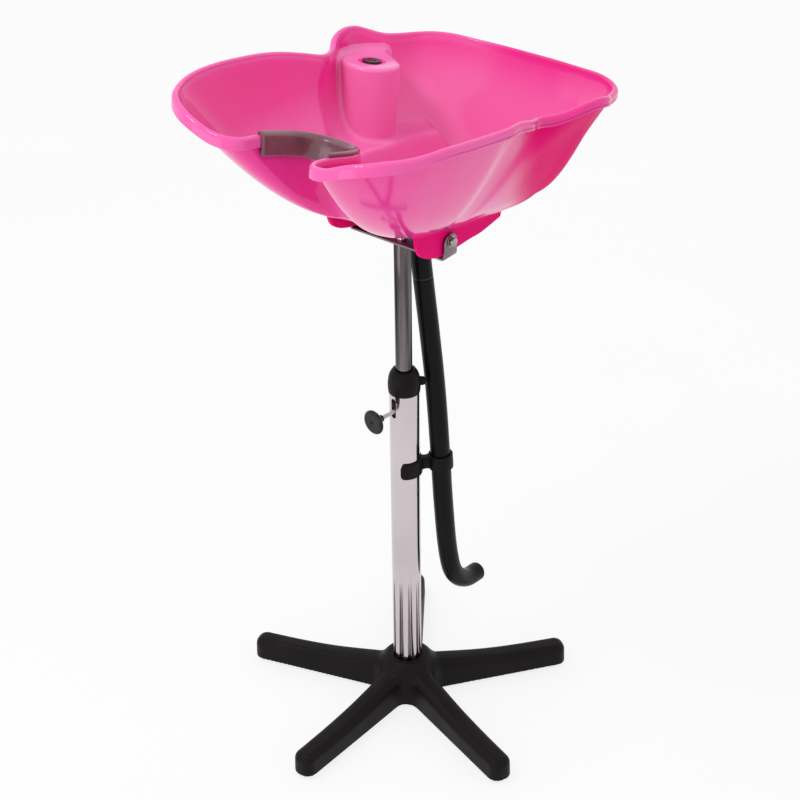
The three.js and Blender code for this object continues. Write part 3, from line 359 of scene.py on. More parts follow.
# %% Colours and a short way to write nodes
def linear(red, green, blue):
    """Screen colour to light: v / 12.92 near black, else ((v + 0.055) / 1.055) to the power 2.4."""
    v = np.array([red, green, blue]) / 255
    return (*np.where(v <= 0.04045, v / 12.92, ((v + 0.055) / 1.055) ** 2.4), 1.0)


class Nodes:
    """A material with its shader, its output and the piece's own coordinates."""

    def __init__(self, name):
        self.material = bpy.data.materials.new(name)
        self.material.use_nodes = True
        self.tree = self.material.node_tree
        self.tree.nodes.clear()
        self.shader = self.add("ShaderNodeBsdfPrincipled")
        self.surface = self.add("ShaderNodeOutputMaterial").inputs["Surface"]
        self.link(self.shader.outputs[0], self.surface)
        self.coords = self.add("ShaderNodeTexCoord").outputs["Object"]

    def add(self, kind, inputs=(), **values):
        """A node with its settings, and the fixed values of some inputs."""
        node = self.tree.nodes.new(kind)
        for key, value in values.items():
            setattr(node, key, value)
        for key, value in dict(inputs).items():
            node.inputs[key].default_value = value
        return node

    def link(self, a, b):
        """One output wired to one input."""
        self.tree.links.new(a, b)

    def noise(self, scale, detail=3.0, rough=0.5, stretch=None):
        """Soft clouds from 0 to 1, drawn out along an axis where "stretch" is small."""
        node = self.add("ShaderNodeTexNoise", {"Scale": scale, "Detail": detail, "Roughness": rough})
        start = self.coords
        if stretch:
            mapping = self.add("ShaderNodeMapping", {"Scale": stretch})
            self.link(start, mapping.inputs["Vector"])
            start = mapping.outputs[0]
        self.link(start, node.inputs["Vector"])
        return node.outputs["Fac"]

    def ramp(self, source, stops):
        """A value to a colour, by straight blends between the stops."""
        node = self.add("ShaderNodeValToRGB")
        band = node.color_ramp
        while len(band.elements) < len(stops):
            band.elements.new(0.5)
        for element, (place, colour) in zip(band.elements, stops):
            element.position, element.color = place, colour
        self.link(source, node.inputs["Fac"])
        return node.outputs["Color"]

    def span(self, source, low, high, start=0.3, end=0.7):
        """The range from start to end drawn out to the range from low to high."""
        node = self.add("ShaderNodeMapRange", {"From Min": start, "From Max": end,
                                               "To Min": low, "To Max": high})
        self.link(source, node.inputs["Value"])
        return node.outputs["Result"]

    def bump(self, source, strength, distance, below=None):
        """Light leans by the slope of a height, on top of another bump if one is given."""
        node = self.add("ShaderNodeBump", {"Strength": strength, "Distance": distance})
        self.link(source, node.inputs["Height"])
        if below is not None:
            self.link(below, node.inputs["Normal"])
        return node.outputs["Normal"]

    def own(self, name):
        """A value that the mesh itself carries at each point."""
        node = self.add("ShaderNodeAttribute", attribute_name=name, attribute_type="GEOMETRY")
        return node.outputs["Fac"]

    def set(self, **values):
        """Values or outputs given to the shader's sockets by name; the material comes back."""
        for key, value in values.items():
            socket = self.shader.inputs[key.replace("_", " ")]
            if hasattr(value, "is_linked"):
                self.link(value, socket)
            else:
                socket.default_value = value
        return self.material


print("pink on the screen as light:", np.round(linear(235, 52, 150), 3))

# %% [markdown]
# ## Pink plastic
# The bowl is one glossy moulding of coloured plastic. Its inside looks milky, because light bounces
# between its walls, while the side that faces away is deep and dull. One flat pink can't show both.
# So the mesh carries a "tone" from 0, painted shade, to 1, painted light from those bounces, and the
# ramp, the roughness and the strength of the reflection all follow it.

# %% The bowl's pink
# Stops of the ramp: painted shade, a middle pink, and painted light.
PAINTED_SHADE_PINK, MIDDLE_PINK, PAINTED_LIGHT_PINK = linear(228, 8, 112), linear(235, 52, 150), linear(243, 126, 190)
DEEP_END = 0.3


def make_pink():
    """Colour, from painted shade to painted light, and roughness follow tone + clouds of 0.03; the index of
    refraction follows the tone.
    """
    n = Nodes("pink_gloss")
    tone = n.own("tone")
    drift = n.add("ShaderNodeMath", operation="ADD")
    n.link(tone, drift.inputs[0])
    n.link(n.span(n.noise(7.0, 4.0, 0.55), -0.03, 0.03), drift.inputs[1])
    colour = n.ramp(drift.outputs[0], [(0.0, PAINTED_SHADE_PINK), (0.5, MIDDLE_PINK), (1.0, PAINTED_LIGHT_PINK)])
    return n.set(Base_Color=colour, Roughness=n.span(drift.outputs[0], 0.5, 0.12, 0.0, DEEP_END),
                 IOR=n.span(tone, 1.12, 1.42, 0.0, DEEP_END),
                 Normal=n.bump(n.noise(38.0, 2.0, 0.6), 0.05, 0.0006))


pink = make_pink()
print(pink.name, "has", len(pink.node_tree.nodes), "nodes")

# %% [markdown]
# ## Blacks, zinc and rubber
# Moulded nylon, rubber and plated screws are all nearly one colour, with a fine grain that breaks up
# the light. A constant colour would look like paint, so each wanders between two close tones, and
# a fine noise gives the grain. The blacks reflect little, because the photograph's blacks have no haze.

# %% Two-tone finishes
def two_tone(name, dark, light, scale, rough, grain, **fixed):
    """Clouds pick a colour between dark and light; finer clouds pick the roughness; grain bumps."""
    n = Nodes(name)
    tone = n.ramp(n.noise(scale, 4.0, 0.55), [(0.34, linear(*dark)), (0.66, linear(*light))])
    fine, strength, distance = grain
    return n.set(Base_Color=tone, Roughness=n.span(n.noise(scale * 3.1, 3.0), *rough),
                 Normal=n.bump(n.noise(fine, 2.0, 0.6), strength, distance), **fixed)


nylon = two_tone("satin_black", (12, 8, 9), (19, 14, 15), 9.0, (0.42, 0.55), (1500.0, 0.25, 0.00015),
                 Specular_IOR_Level=0.12)
gloss_black = two_tone("gloss_black", (14, 11, 12), (22, 17, 18), 20.0, (0.2, 0.32),
                       (700.0, 0.1, 0.0001), Specular_IOR_Level=0.3)
foot_rubber = two_tone("foot_rubber", (22, 19, 20), (34, 30, 31), 30.0, (0.6, 0.8), (900.0, 0.4, 0.0002))
zinc = two_tone("zinc_plate", (158, 152, 150), (186, 180, 177), 40.0, (0.24, 0.4),
                (600.0, 0.15, 0.0001), Metallic=1.0)
grey_plastic = two_tone("grey_plastic", (120, 118, 121), (134, 131, 134), 18.0, (0.35, 0.5),
                        (800.0, 0.15, 0.0001))
pad_skin = two_tone("pad_rubber", (96, 56, 66), (126, 76, 88), 14.0, (0.16, 0.3), (260.0, 0.12, 0.0003),
                    Coat_Weight=0.3, Coat_Roughness=0.12, Specular_IOR_Level=0.5)
print("two-tone finishes:", *(m.name for m in (nylon, gloss_black, foot_rubber, zinc, grey_plastic)))

# %% [markdown]
# ## Chrome
# Drawn tube keeps faint marks along its length even after plating. Clouds stretched along the tube
# give those marks to the roughness and to a very shallow bump. The inner tube's colour is a painted
# reflection: nearly black, with lighter bands along it, so its clouds are stretched much more and run
# from near black to grey.

# %% Polished metal
def polished(name, dark, light, rough, lengthwise=(40.0, 40.0, 3.0), banded=False):
    """Full metal: streaks pick the roughness, and clouds pick the colour; with banded, the streaks
    themselves paint reflection bands into the colour.
    """
    n = Nodes(name)
    streak = n.noise(6.0, 4.0, 0.6, stretch=lengthwise)
    clouds = streak if banded else n.noise(5.0, 3.0)
    tone = n.ramp(clouds, [(0.35, linear(*dark)), (0.65, linear(*light))])
    return n.set(Base_Color=tone, Metallic=1.0, Roughness=n.span(streak, *rough),
                 Normal=n.bump(streak, 0.02, 0.0004))


chrome = polished("chrome", (196, 188, 190), (208, 200, 203), (0.10, 0.16))
bright_chrome = polished("bright_chrome", (205, 200, 201), (216, 211, 212), (0.03, 0.07))
# Painted reflection: the inner tube's dark colour with lighter bands stands in for what it reflects.
chrome_painted_reflection = polished("chrome_painted_reflection", (20, 17, 18), (128, 120, 122), (0.08, 0.14), (16.0, 16.0, 0.5),
                         banded=True)
dark_steel = polished("bracket_steel", (120, 108, 112), (140, 128, 131), (0.12, 0.22),
                      (60.0, 60.0, 60.0))
print("metals:", chrome.name, bright_chrome.name, chrome_painted_reflection.name, dark_steel.name)

# %% [markdown]
# ## Hose rubber
# The hose is smooth black rubber with faint rings from its mandrel. The rings have to follow every
# bend, which no pattern in space can do. So each point carries its distance along the hose, and a
# wave over that distance bumps the surface.

# %% Ringed rubber
RINGS_SCALE = 95.0


def make_hose_rubber():
    """Rings: a sine wave of the distance along the hose, under a finer grain."""
    n = Nodes("hose_black")
    place = n.add("ShaderNodeCombineXYZ")
    wave = n.add("ShaderNodeTexWave", {"Scale": RINGS_SCALE, "Distortion": 0.0},
                 wave_type="BANDS", bands_direction="X")
    n.link(n.own("along"), place.inputs["X"])
    n.link(place.outputs[0], wave.inputs["Vector"])
    rings = n.bump(wave.outputs["Fac"], 0.12, 0.0002)
    tone = n.ramp(n.noise(12.0, 4.0), [(0.35, linear(9, 7, 9)), (0.65, linear(15, 12, 14))])
    return n.set(Base_Color=tone, Roughness=n.span(n.noise(40.0), 0.3, 0.42), Specular_IOR_Level=0.12,
                 Normal=n.bump(n.noise(500.0, 2.0), 0.12, 0.0001, rings))


hose_black = make_hose_rubber()
print(hose_black.name, "has", len(hose_black.node_tree.nodes), "nodes")

# %% [markdown]
# ## Bowl: the rim
# The bowl is a deep shell whose rim rises and falls: low round the neck recess, high in the two
# rear corners, with a dip between. Such a rim could be sculpted, but then no size could be read
# off it. Here one closed curve runs through points given as shares of the half width, the length
# and the rise. One half is listed and the other half is its mirror image.

# %% Rim sizes and shares
HALF, LENGTH, RISE, WALL = 219.0, 572.0, 202.0, 4.0
NECK_HALF, NECK_DEPTH, NECK_Y = 59.0, 150.0, -0.511 * 572 + 142.3
FOOT_HALF, FOOT_DEEP, FOOT_Y, FOOT_Z, FOOT_BACK = 90.0, 160.0, 75.0, 21.0, 7.0
recess_shares = [[0, 0, .703], [.41, .02, .703], [.75, .12, .718], [.93, .333, .743], [1, .64, .777],
                 [1.05, .853, .782]]
rim_shares = [[.356, -.511, .79], [.443, -.52, .807], [.534, -.526, .847], [.626, -.526, .886],
              [.721, -.511, .911], [.799, -.491, .936], [.872, -.455, .95], [.927, -.407, .975],
              [.954, -.357, .995], [.973, -.297, 1.005], [.977, -.227, 1.01], [.963, -.129, 1.01],
              [.927, -.077, 1.005], [.888, -.003, .975], [.845, .045, .955], [.9, .105, .965],
              [.968, .143, 1.015], [1, .187, 1.05], [1, .24, 1.05], [.959, .271, 1.025], [.9, .306, .995],
              [.858, .353, .985], [.804, .399, .99], [.712, .427, 1.005], [.589, .449, 1.01],
              [.434, .467, 1], [.228, .474, 1], [0, .4755, 1]]
print("rim:", len(recess_shares), "points round the neck and", len(rim_shares), "beyond it")

# %% The rim's curve
PER_SPAN, RIM_BLUR, TURN_BLUR = 60, 5.0 / 1900, 2.2


def rim_nodes():
    """Rim points (shares times sizes) with the turn about the foot that each wall column takes."""
    half = [(x * NECK_HALF, NECK_Y - y * NECK_DEPTH, z * RISE) for x, y, z in recess_shares]
    half += [(x * HALF, y * LENGTH, z * RISE) for x, y, z in rim_shares]
    half = np.array(half)
    turn = np.maximum(np.arctan2(half[:, 0], FOOT_Y - half[:, 1]), 0)
    turn[:7] = turn[7] * np.arange(7) / 7
    turn[-1] = math.pi
    other = half[-2:0:-1] * [-1, 1, 1]
    return np.concatenate([half, other]), np.concatenate([turn, 2 * math.pi - turn[-2:0:-1]])


def rim_line(count):
    """Evenly spaced points of the smooth curve, with their turns, both blurred a little."""
    nodes, turn = rim_nodes()
    dense = smooth_path(nodes, PER_SPAN, closed=True)
    share = np.arange(len(dense)) / len(dense)
    ends = np.append(turn, 2 * math.pi)
    turns = np.interp(np.arange(len(dense)) / PER_SPAN, np.arange(len(ends)), ends)
    sheet = even(np.column_stack([dense, turns - 2 * math.pi * share]), count, True)
    shares = even(np.column_stack([dense, share]), count, True)[:, 3]
    sigma = RIM_BLUR * count
    return blurred(sheet[:, :3], sigma), blurred(sheet[:, 3], TURN_BLUR * sigma) + 2 * math.pi * shares


def level_normals(line):
    """Level directions square to the rim: its tangent (x, y) turned to (y, -x), made to look out."""
    tangent = np.roll(line, -1, 0) - np.roll(line, 1, 0)
    normal = np.column_stack([tangent[:, 1], -tangent[:, 0], np.zeros(len(line))])
    normal /= np.linalg.norm(normal, axis=1)[:, None]
    return normal if ((line - line.mean(0)) * normal).sum() > 0 else -normal


COLUMNS, ROWS = 440, 60
line, turn = rim_line(COLUMNS)
print("rim length", round(lengths(line)[-1]), "mm, height", np.round(np.ptp(line[:, 2])), "mm")

# %% [markdown]
# ## Bowl: the inner wall
# Water has to run to the drain, so the floor dishes towards it and rounds up into the walls. Each
# column of the wall is one line from the drain's seat over the foot of the wall to the rim. Its
# height grows as a power of the way outwards: a high power makes a wall that starts flat and
# steepens. A ledge at the foot of the tap pillar lifts some columns, and fades out on both sides.

# %% Drain, ledge and lean
DRAIN_Y, FLOOR_Z, HOLE_R, SEAT_R, LIP_IN = 50.0, 12.0, 24.0, 37.0, 4.0
STEP, STEP_SHARE, LEAN_NECK, LEAN_SIDE, LEAN_BACK = 10.0, 0.04, 1.6, 1.35, 1.8
LEDGE, LEDGE_SHARE, LEDGE_POWER, EVEN_REACH, WALL_BLUR = 42.0, 0.16, 4.5, 66.0, 5.5


def smoothstep(x, low, high):
    """t^2 (3 - 2t), where t runs from 0 at low to 1 at high."""
    t = np.clip((x - low) / (high - low), 0, 1)
    return t * t * (3 - 2 * t)


def root(value):
    """The square root, with the value's sign."""
    return np.sign(value) * np.abs(value) ** 0.5


def inner_wall(line, turn, rows):
    """Columns of points: seat to foot along h^2, then foot to rim along h to the power of the lean."""
    top = line - LIP_IN * level_normals(line)
    s, c = np.sin(turn), np.cos(turn)
    back = (1 - c) / 2
    lean = LEAN_NECK + (LEAN_SIDE - LEAN_NECK) * smoothstep(back, 0.15, 0.5)
    lean = lean + (LEAN_BACK - lean) * smoothstep(back, 0.6, 0.85)
    ledge = np.where(s < 0, smoothstep(back, 0.33, 0.46) * (1 - smoothstep(back, 0.79, 0.91)), 0)
    lean = lean + (LEDGE_POWER - lean) * ledge
    foot = np.stack([FOOT_HALF * root(s), FOOT_Y - FOOT_DEEP * root(c), FOOT_Z + FOOT_BACK * back], -1)
    step = STEP * back + LEDGE * ledge
    share = STEP_SHARE + (LEDGE_SHARE - STEP_SHARE) * ledge
    length = np.linalg.norm(np.roll(line, -1, 0) - line, axis=1).sum()
    calm = blurred(top, EVEN_REACH * len(line) / length)
    calm = top + (calm - top) * smoothstep(back, 0.25, 0.4)[:, None]
    hole, seat = (np.stack([r * s, DRAIN_Y - r * c, 0 * s + FLOOR_Z], -1) for r in (HOLE_R, SEAT_R))
    dense = [hole + (seat - hole) * h for h in np.linspace(0, 1, 8, endpoint=False)]
    for h in np.linspace(0, 1, 50, endpoint=False):
        p = seat + (foot - seat) * h
        p[:, 2] = FLOOR_Z + (foot[:, 2] - FLOOR_Z) * h * h
        dense.append(p)
    for h in np.linspace(0, 1, 140):
        p = foot + (calm + (top - calm) * smoothstep(h, 0.7, 1) - foot) * h
        p[:, 2] = foot[:, 2] + step * np.minimum(h / share, 1) + (top[:, 2] - foot[:, 2] - step) * h ** lean
        dense.append(p)
    dense = np.stack(dense, 1)
    out = np.array([even(column, rows) for column in dense])
    reach = np.linalg.norm(np.diff(dense, axis=1), axis=2).sum(1).mean() / rows
    return blurred(out.transpose(1, 0, 2), WALL_BLUR / reach, wrap=False).transpose(1, 0, 2)


def wall_normals(points):
    """Unit normals that look into the bowl: the cross product of the steps along rows and columns."""
    n = np.cross(np.roll(points, -1, 0) - np.roll(points, 1, 0), np.gradient(points, axis=1))
    n /= np.linalg.norm(n, axis=2)[..., None] + 1e-12
    return -n if n[..., 2].mean() < 0 else n


inner = inner_wall(line, turn, ROWS)
outer = inner - WALL * wall_normals(inner)
print("inner wall:", inner.shape[:2], "points, lowest at", round(inner[..., 2].min(), 1), "mm")

# %% [markdown]
# ## Bowl: the lip
# A moulded bowl ends in a rolled lip with a flange that hangs down outside, which stiffens it and
# keeps water from creeping round. The lip is a short profile of two values, outwards and downwards,
# carried along the rim. Beside the neck recess the flange hangs a little deeper, as in the photograph.

# %% The rolled lip
CREST = [[0, -3], [0, 0.4], [2.2, 2.6], [6.2, 2.4], [9, -0.6], [9, -8]]
CREST_ROUND = [0, 2, 2.4, 3.2, 3, 0]
BEAD = ((8.85, 0.0), (8.3, 0.35), (6.7, 0.0), (6.15, -0.35), (6.0, -1.2))
FLANGE_OUT, FLANGE_IN, FLANGE_DROP, NECK_EXTRA = 9.0, 6.0, 11.0, 3.0
ROOT_DROP, ROOT_KEEP = 7.1, 8.5


def lip_rows(line):
    """Rows from the wall's top over the lip and back up inside: line + normal * out - up * down."""
    normal = level_normals(line)
    drop = FLANGE_DROP + NECK_EXTRA * (1 - smoothstep(line[:, 1] / LENGTH, -0.5, -0.3))
    rows = [(out, -up + 0 * drop) for out, up in soft(CREST, CREST_ROUND)]
    rows += [(FLANGE_OUT, drop * share) for share in np.linspace(0.62, 0.97, 5)]
    rows += [(out, drop + extra) for out, extra in BEAD]
    rows += [(FLANGE_IN, ROOT_DROP + (drop - ROOT_KEEP) * share) for share in np.linspace(0.85, 0.0, 5)]
    rows += [(5.5, 5.8 + 0 * drop), (4.2, 6.2 + 0 * drop)]
    return np.stack([line + normal * (out - LIP_IN) - UP * down[:, None] for out, down in rows], 1)


print("lip:", lip_rows(line).shape[1], "rows")

# %% [markdown]
# ## Tap pillar: the fields
# The pillar for the tap grows out of the side wall in one moulding, with a rounded fillet all the way
# round it. A boolean union would leave a sharp, ragged seam. A distance field can do better: it
# says how far each point in space is from the wall and from the column, and a round union of the two
# distances has the fillet built in. The wall's distance comes from its height over the plan.

# %% Heights of the wall over the plan
PILLAR = np.array([-158.0, 104.0])
PLAN_LOW, PLAN_HIGH, PLAN_STEP, PLAN_EDGE, ABOVE, BELOW = (-230, 36), (-92, 204), 1.0, 12, 600.0, -200.0


class Heights:
    """Heights of a surface over an even plan grid, found by rays straight down or straight up."""

    def __init__(self, points, from_above):
        v, faces = grid(points)
        low, high = np.array(PLAN_LOW, float), np.array(PLAN_HIGH)
        keep = ((v[:, :2] > low - PLAN_EDGE) & (v[:, :2] < high + PLAN_EDGE)).all(1)
        f = np.array(faces)
        tree = BVHTree.FromPolygons(v.tolist(), f[keep[f].all(1)].tolist())
        xs, ys = (np.arange(low[k], high[k] + PLAN_STEP, PLAN_STEP) for k in (0, 1))
        start, way = (ABOVE, Vector((0, 0, -1))) if from_above else (BELOW, Vector((0, 0, 1)))
        hits = [[tree.ray_cast(Vector((x, y, start)), way)[0] for y in ys] for x in xs]
        z = np.array([[np.nan if hit is None else hit.z for hit in row] for row in hits])
        for strip in z.T:
            good = np.flatnonzero(~np.isnan(strip))
            if len(good) < 4:
                continue
            first = good[0] + 1
            slope = (strip[first + 2] - strip[first]) / 2
            strip[:first] = strip[first] - slope * np.arange(first, 0, -1)
            strip[good[-1] + 1:] = strip[good[-1]]
        self.z = blurred(blurred(z, 1.2, False).T, 1.2, False).T
        self.gx, self.gy = np.gradient(self.z, PLAN_STEP)

    def above(self, p):
        """Distance from the surface: height over it, divided by the length of its slope's normal."""
        u, w = (np.clip((p[..., k] - PLAN_LOW[k]) / PLAN_STEP, 0, self.z.shape[k] - 1.001) for k in (0, 1))
        i, j = u.astype(int), w.astype(int)
        fu, fw = u - i, w - j

        def mix(a):
            """A blend of the four nearest heights, by how near each is."""
            return ((a[i, j] * (1 - fu) + a[i + 1, j] * fu) * (1 - fw)
                    + (a[i, j + 1] * (1 - fu) + a[i + 1, j + 1] * fu) * fw)
        return (p[..., 2] - mix(self.z)) / np.sqrt(1 + mix(self.gx) ** 2 + mix(self.gy) ** 2)


fine_line, fine_turn = rim_line(COLUMNS * 3)
span = np.flatnonzero((fine_line[:, 0] < -60) & (fine_line[:, 1] > -30) & (fine_line[:, 1] < 262))
fine = inner_wall(fine_line, fine_turn, ROWS * 4)
inner_heights = Heights(fine[span], True)
outer_heights = Heights((fine - WALL * wall_normals(fine))[span], False)
print("plan of", inner_heights.z.shape, "heights; fine wall of", fine.shape[:2], "points")

# %% Column, fillet and round union
PILLAR_R, PILLAR_TOP, HOLLOW_R, HOLLOW_TOP = 42.0, 180.0, 38.0, 176.0
PILLAR_FORM, HOLLOW_FORM = (PILLAR_R, PILLAR_TOP, 5.5), (HOLLOW_R, HOLLOW_TOP, 2.0)
FILLET, HOLLOW_FILLET = 7.0, 3.0


def round_corner(a, b, radius):
    """Inside both fields, with a rounded corner: the length of what is over -radius, less the radius."""
    a, b = a + radius, b + radius
    return np.hypot(np.maximum(a, 0), np.maximum(b, 0)) + np.minimum(np.maximum(a, b), 0) - radius


def round_union(a, b, radius):
    """Inside either field, with a fillet: max(r, min(a, b)) less the length of what is under r."""
    u, v = np.maximum(radius - a, 0), np.maximum(radius - b, 0)
    return np.maximum(radius, np.minimum(a, b)) - np.hypot(u, v)


def stadium(x, y, radius):
    """Distance in plan to a strip with a round end that runs out through the wall, less its radius."""
    dx, dy = x - PILLAR[0], y - PILLAR[1]
    way = PILLAR / np.linalg.norm(PILLAR)
    across = np.abs(dx * way[1] - dy * way[0])
    return np.where(dx * way[0] + dy * way[1] < 0, np.hypot(dx, dy), across) - radius


def column_field(p, radius, top, edge):
    """The strip up to a flat top, with the top's edge rounded."""
    return round_corner(stadium(p[..., 0], p[..., 1], radius), p[..., 2] - top, edge)


def grown(heights, form, fillet):
    """The field of the wall with a column grown out of it."""
    return lambda p: round_union(heights.above(p), column_field(p, *form), fillet)


deck = np.array([*PILLAR, PILLAR_TOP])
print("field on the pillar's deck:", round(float(column_field(deck, *PILLAR_FORM)), 3))

# %% [markdown]
# ## Tap pillar: from field to mesh
# A surface net lays an even grid of cells over the field. In each cell that the surface crosses it
# puts one point, at the mean of the crossings on the cell's edges, and joins neighbours with quads.
# That gives even quads on any smooth shape. A few steps along the slope then put every point on the
# surface itself.

# %% The surface net
def net(field, low, high, cell):
    """Quads where the field is zero; points step by -f g / (g . g), with g the field's slope."""
    axes = [np.arange(low[k], high[k] + cell, cell) for k in range(3)]
    p = np.stack(np.meshgrid(*axes, indexing="ij"), -1)
    f = field(p)
    n = np.array(f.shape) - 1
    total, count = np.zeros((*n, 3)), np.zeros(n)
    corners = [(i, j, k) for k in (0, 1) for j in (0, 1) for i in (0, 1)]

    def block(a, c):
        """The values at one corner of every cell."""
        return a[c[0]:c[0] + n[0], c[1]:c[1] + n[1], c[2]:c[2] + n[2]]
    for i, a in enumerate(corners):
        for b in corners[i + 1:]:
            if sum(abs(a[k] - b[k]) for k in range(3)) != 1:
                continue
            fa, fb = block(f, a), block(f, b)
            cross = (fa < 0) != (fb < 0)
            t = np.where(cross, fa / np.where(cross, fa - fb, 1), 0)[..., None]
            total += np.where(cross[..., None], block(p, a) * (1 - t) + block(p, b) * t, 0)
            count += cross
    used = count > 0
    index = np.full(n, -1)
    index[used] = np.arange(used.sum())
    v = total[used] / count[used][:, None]
    quads = np.concatenate([crossings(f < 0, index, k) for k in range(3)])
    for _ in range(6):
        g = np.stack([(field(v + d) - field(v - d)) / 0.4 for d in np.eye(3) * 0.2], -1)
        v = v - (field(v) / np.maximum((g * g).sum(-1), 0.2))[:, None] * g
    return v, quads


def crossings(inside, index, k):
    """A quad of the four cells round each grid edge along axis k whose ends lie on two sides."""
    near, far = [slice(1, -1)] * 3, [slice(1, -1)] * 3
    near[k], far[k] = slice(0, -1), slice(1, None)
    a, b = inside[tuple(near)], inside[tuple(far)]
    where = np.argwhere(a != b)
    base = where + 1
    base[:, k] = where[:, k]
    others = [m for m in range(3) if m != k]
    ring = []
    for shift in ((0, 0), (1, 0), (1, 1), (0, 1)):
        c = base.copy()
        c[:, others] -= shift
        ring.append(index[tuple(c.T)])
    quads = np.stack(ring, 1)
    turned = (k == 1) ^ a[tuple(where.T)]
    quads[turned] = quads[turned][:, ::-1]
    return quads


def face_normals(v, quads):
    """The cross product of a quad's first side and its last."""
    return np.cross(v[quads[:, 1]] - v[quads[:, 0]], v[quads[:, 3]] - v[quads[:, 0]])


ball, ball_quads = net(lambda p: np.linalg.norm(p, axis=-1) - 3, [-5] * 3, [5] * 3, 1.0)
print("a ball from the net:", len(ball_quads), "quads, radius", np.linalg.norm(ball, axis=1).mean().round(3))


# %% The pillar's skin and its hollow
CELL, SEAM, RING_DEEP = 1.75, 0.03, 6


def patch(field, form, reach, low, high, lift, hole, side):
    """The net where the column's field is below "reach", with a round opening for the tap ring."""
    v, quads = net(field, low, high, CELL)
    middle, facing = v[quads].mean(1), face_normals(v, quads)
    facing /= np.linalg.norm(facing, axis=1)[:, None] + 1e-12
    rise = field(middle + 0.3 * facing) - field(middle - 0.3 * facing)
    if rise.mean() * side < 0:
        quads = quads[:, ::-1]
    away = (np.hypot(*(v[:, :2] - PILLAR).T) > hole) | (v[:, 2] < form[1] - RING_DEEP)
    keep = (column_field(v, *form) < reach) & away
    quads = quads[keep[quads].all(1)]
    used = np.unique(quads)
    back = np.full(len(v), -1)
    back[used] = np.arange(len(used))
    print("patch:", len(quads), "faces, share that looks the right way:",
          float((rise * np.sign(rise.mean()) > 0).mean()))
    return v[used] + UP * lift, back[quads].tolist()


inner_patch = patch(grown(inner_heights, PILLAR_FORM, FILLET), PILLAR_FORM, FILLET + 4,
                    [-226, 38, 14], [-95, 200, 200], SEAM, 19.0, 1)
outer_patch = patch(grown(outer_heights, HOLLOW_FORM, HOLLOW_FILLET), HOLLOW_FORM, HOLLOW_FILLET + 9,
                    [-226, 42, 8], [-98, 196, 186], -SEAM, 17.0, -1)

# %% [markdown]
# ## Tap hole
# The pillar's deck has a hole for the tap, with a shallow seat round it. Its edges are too crisp for
# the net's cells, so the deck round the hole, the seat, the bore and the hollow's ceiling are
# one turned ring that overlaps the opening which the patches left.

# %% The ring round the tap hole
TAP_HOLE, TAP_SEAT, TAP_SEAT_DEPTH = 12.3, 14.3, 1.0
SEAT_Z = PILLAR_TOP - TAP_SEAT_DEPTH


def tap_ring():
    """A profile (r, z) from the deck's edge down the bore to the ceiling, spun round the pillar."""
    r, z = np.array([[20.6, PILLAR_TOP + 0.02], [16.5, PILLAR_TOP + 0.02], [14.9, PILLAR_TOP],
                     [TAP_SEAT, PILLAR_TOP - 0.5], [TAP_SEAT, SEAT_Z], [TAP_HOLE + 0.3, SEAT_Z],
                     [TAP_HOLE, SEAT_Z - 0.3], [TAP_HOLE, HOLLOW_TOP + 0.4], [TAP_HOLE + 0.5, HOLLOW_TOP],
                     [19.0, HOLLOW_TOP - SEAM]]).T
    a = np.linspace(0, 2 * math.pi, 96, endpoint=False)[:, None]
    return grid(spun(r, z, a) + [*PILLAR, 0], wrap_u=True)


print("tap ring:", len(tap_ring()[1]), "faces")

# %% [markdown]
# ## Lugs
# Two ribs under the bowl take the tilt bolts. Each is a flat plate whose lower edge is a curve and
# whose sides flare into the bowl's underside. Rays cast upwards find the underside along the
# plate, so the flare always ends on it, whatever the bowl's shape.

# %% The lugs' sections
LUG_IN, LUG_OUT, LUG_FILLET, LUG_EDGE, LUG_HALF, LUG_TALL, SUNK = 74.0, 81.0, 5.0, 1.2, 122, 24, 0.6
lug_shares = [[-0.61, 1.15], [-0.56, 0.13], [-0.49, -0.42], [-0.34, -0.76], [-0.07, -0.88], [0.16, -0.7],
              [0.45, -0.42], [0.63, -0.28], [1, 0.31]]


def under(tree, x, y):
    """Height of the bowl's underside over a plan point."""
    hit = tree.ray_cast(Vector((x, y, BELOW)), Vector((0, 0, 1)))[0]
    return 20.0 if hit is None else hit.z


def lug_side(tree, face, way, y, z):
    """Half a section: the flare (1-t)^2 s + 2t(1-t) c + t^2 e, a straight side and a round edge."""
    base, far = under(tree, face, y), under(tree, face + way * LUG_FILLET, y)
    bottom = min(z, base + 1.5)
    start = np.array([face, max(base - LUG_FILLET, bottom + LUG_EDGE)])
    t = np.linspace(1, 0, 7)[:, None]
    flare = ((1 - t) ** 2 * start + 2 * t * (1 - t) * np.array([face, base])
             + t * t * np.array([face + way * LUG_FILLET, far + SUNK]))
    straight = start + (np.array([face, bottom + LUG_EDGE]) - start) * np.linspace(0.15, 1, 4)[:, None]
    a = np.array([0.35, 0.7, 1.0]) * math.pi / 2
    edge = np.stack([face - way * LUG_EDGE * (1 - np.cos(a)), bottom + LUG_EDGE * (1 - np.sin(a))], -1)
    return np.concatenate([flare, straight, edge])[::-way]


def lug(tree, side):
    """Sections along the lower edge's curve, lofted; the other lug is the mirror image."""
    low = even(smooth_path(np.array(lug_shares) * [LUG_HALF, LUG_TALL], 14), 96)
    rings = [ring_at([0, y, 0], [1, 0, 0], np.concatenate([lug_side(tree, LUG_IN, -1, y, z),
                                                           lug_side(tree, LUG_OUT, 1, y, z)]))
             for y, z in low]
    v, faces = capped(rings)
    return outward((v * [side, 1, 1], faces))


shell_faces = grid(outer, wrap_u=True)
shell_tree = BVHTree.FromPolygons(shell_faces[0].tolist(), shell_faces[1])
lugs = [lug(shell_tree, side) for side in (1, -1)]
print("underside over the bolts:", round(under(shell_tree, LUG_IN, 0), 1), "mm")
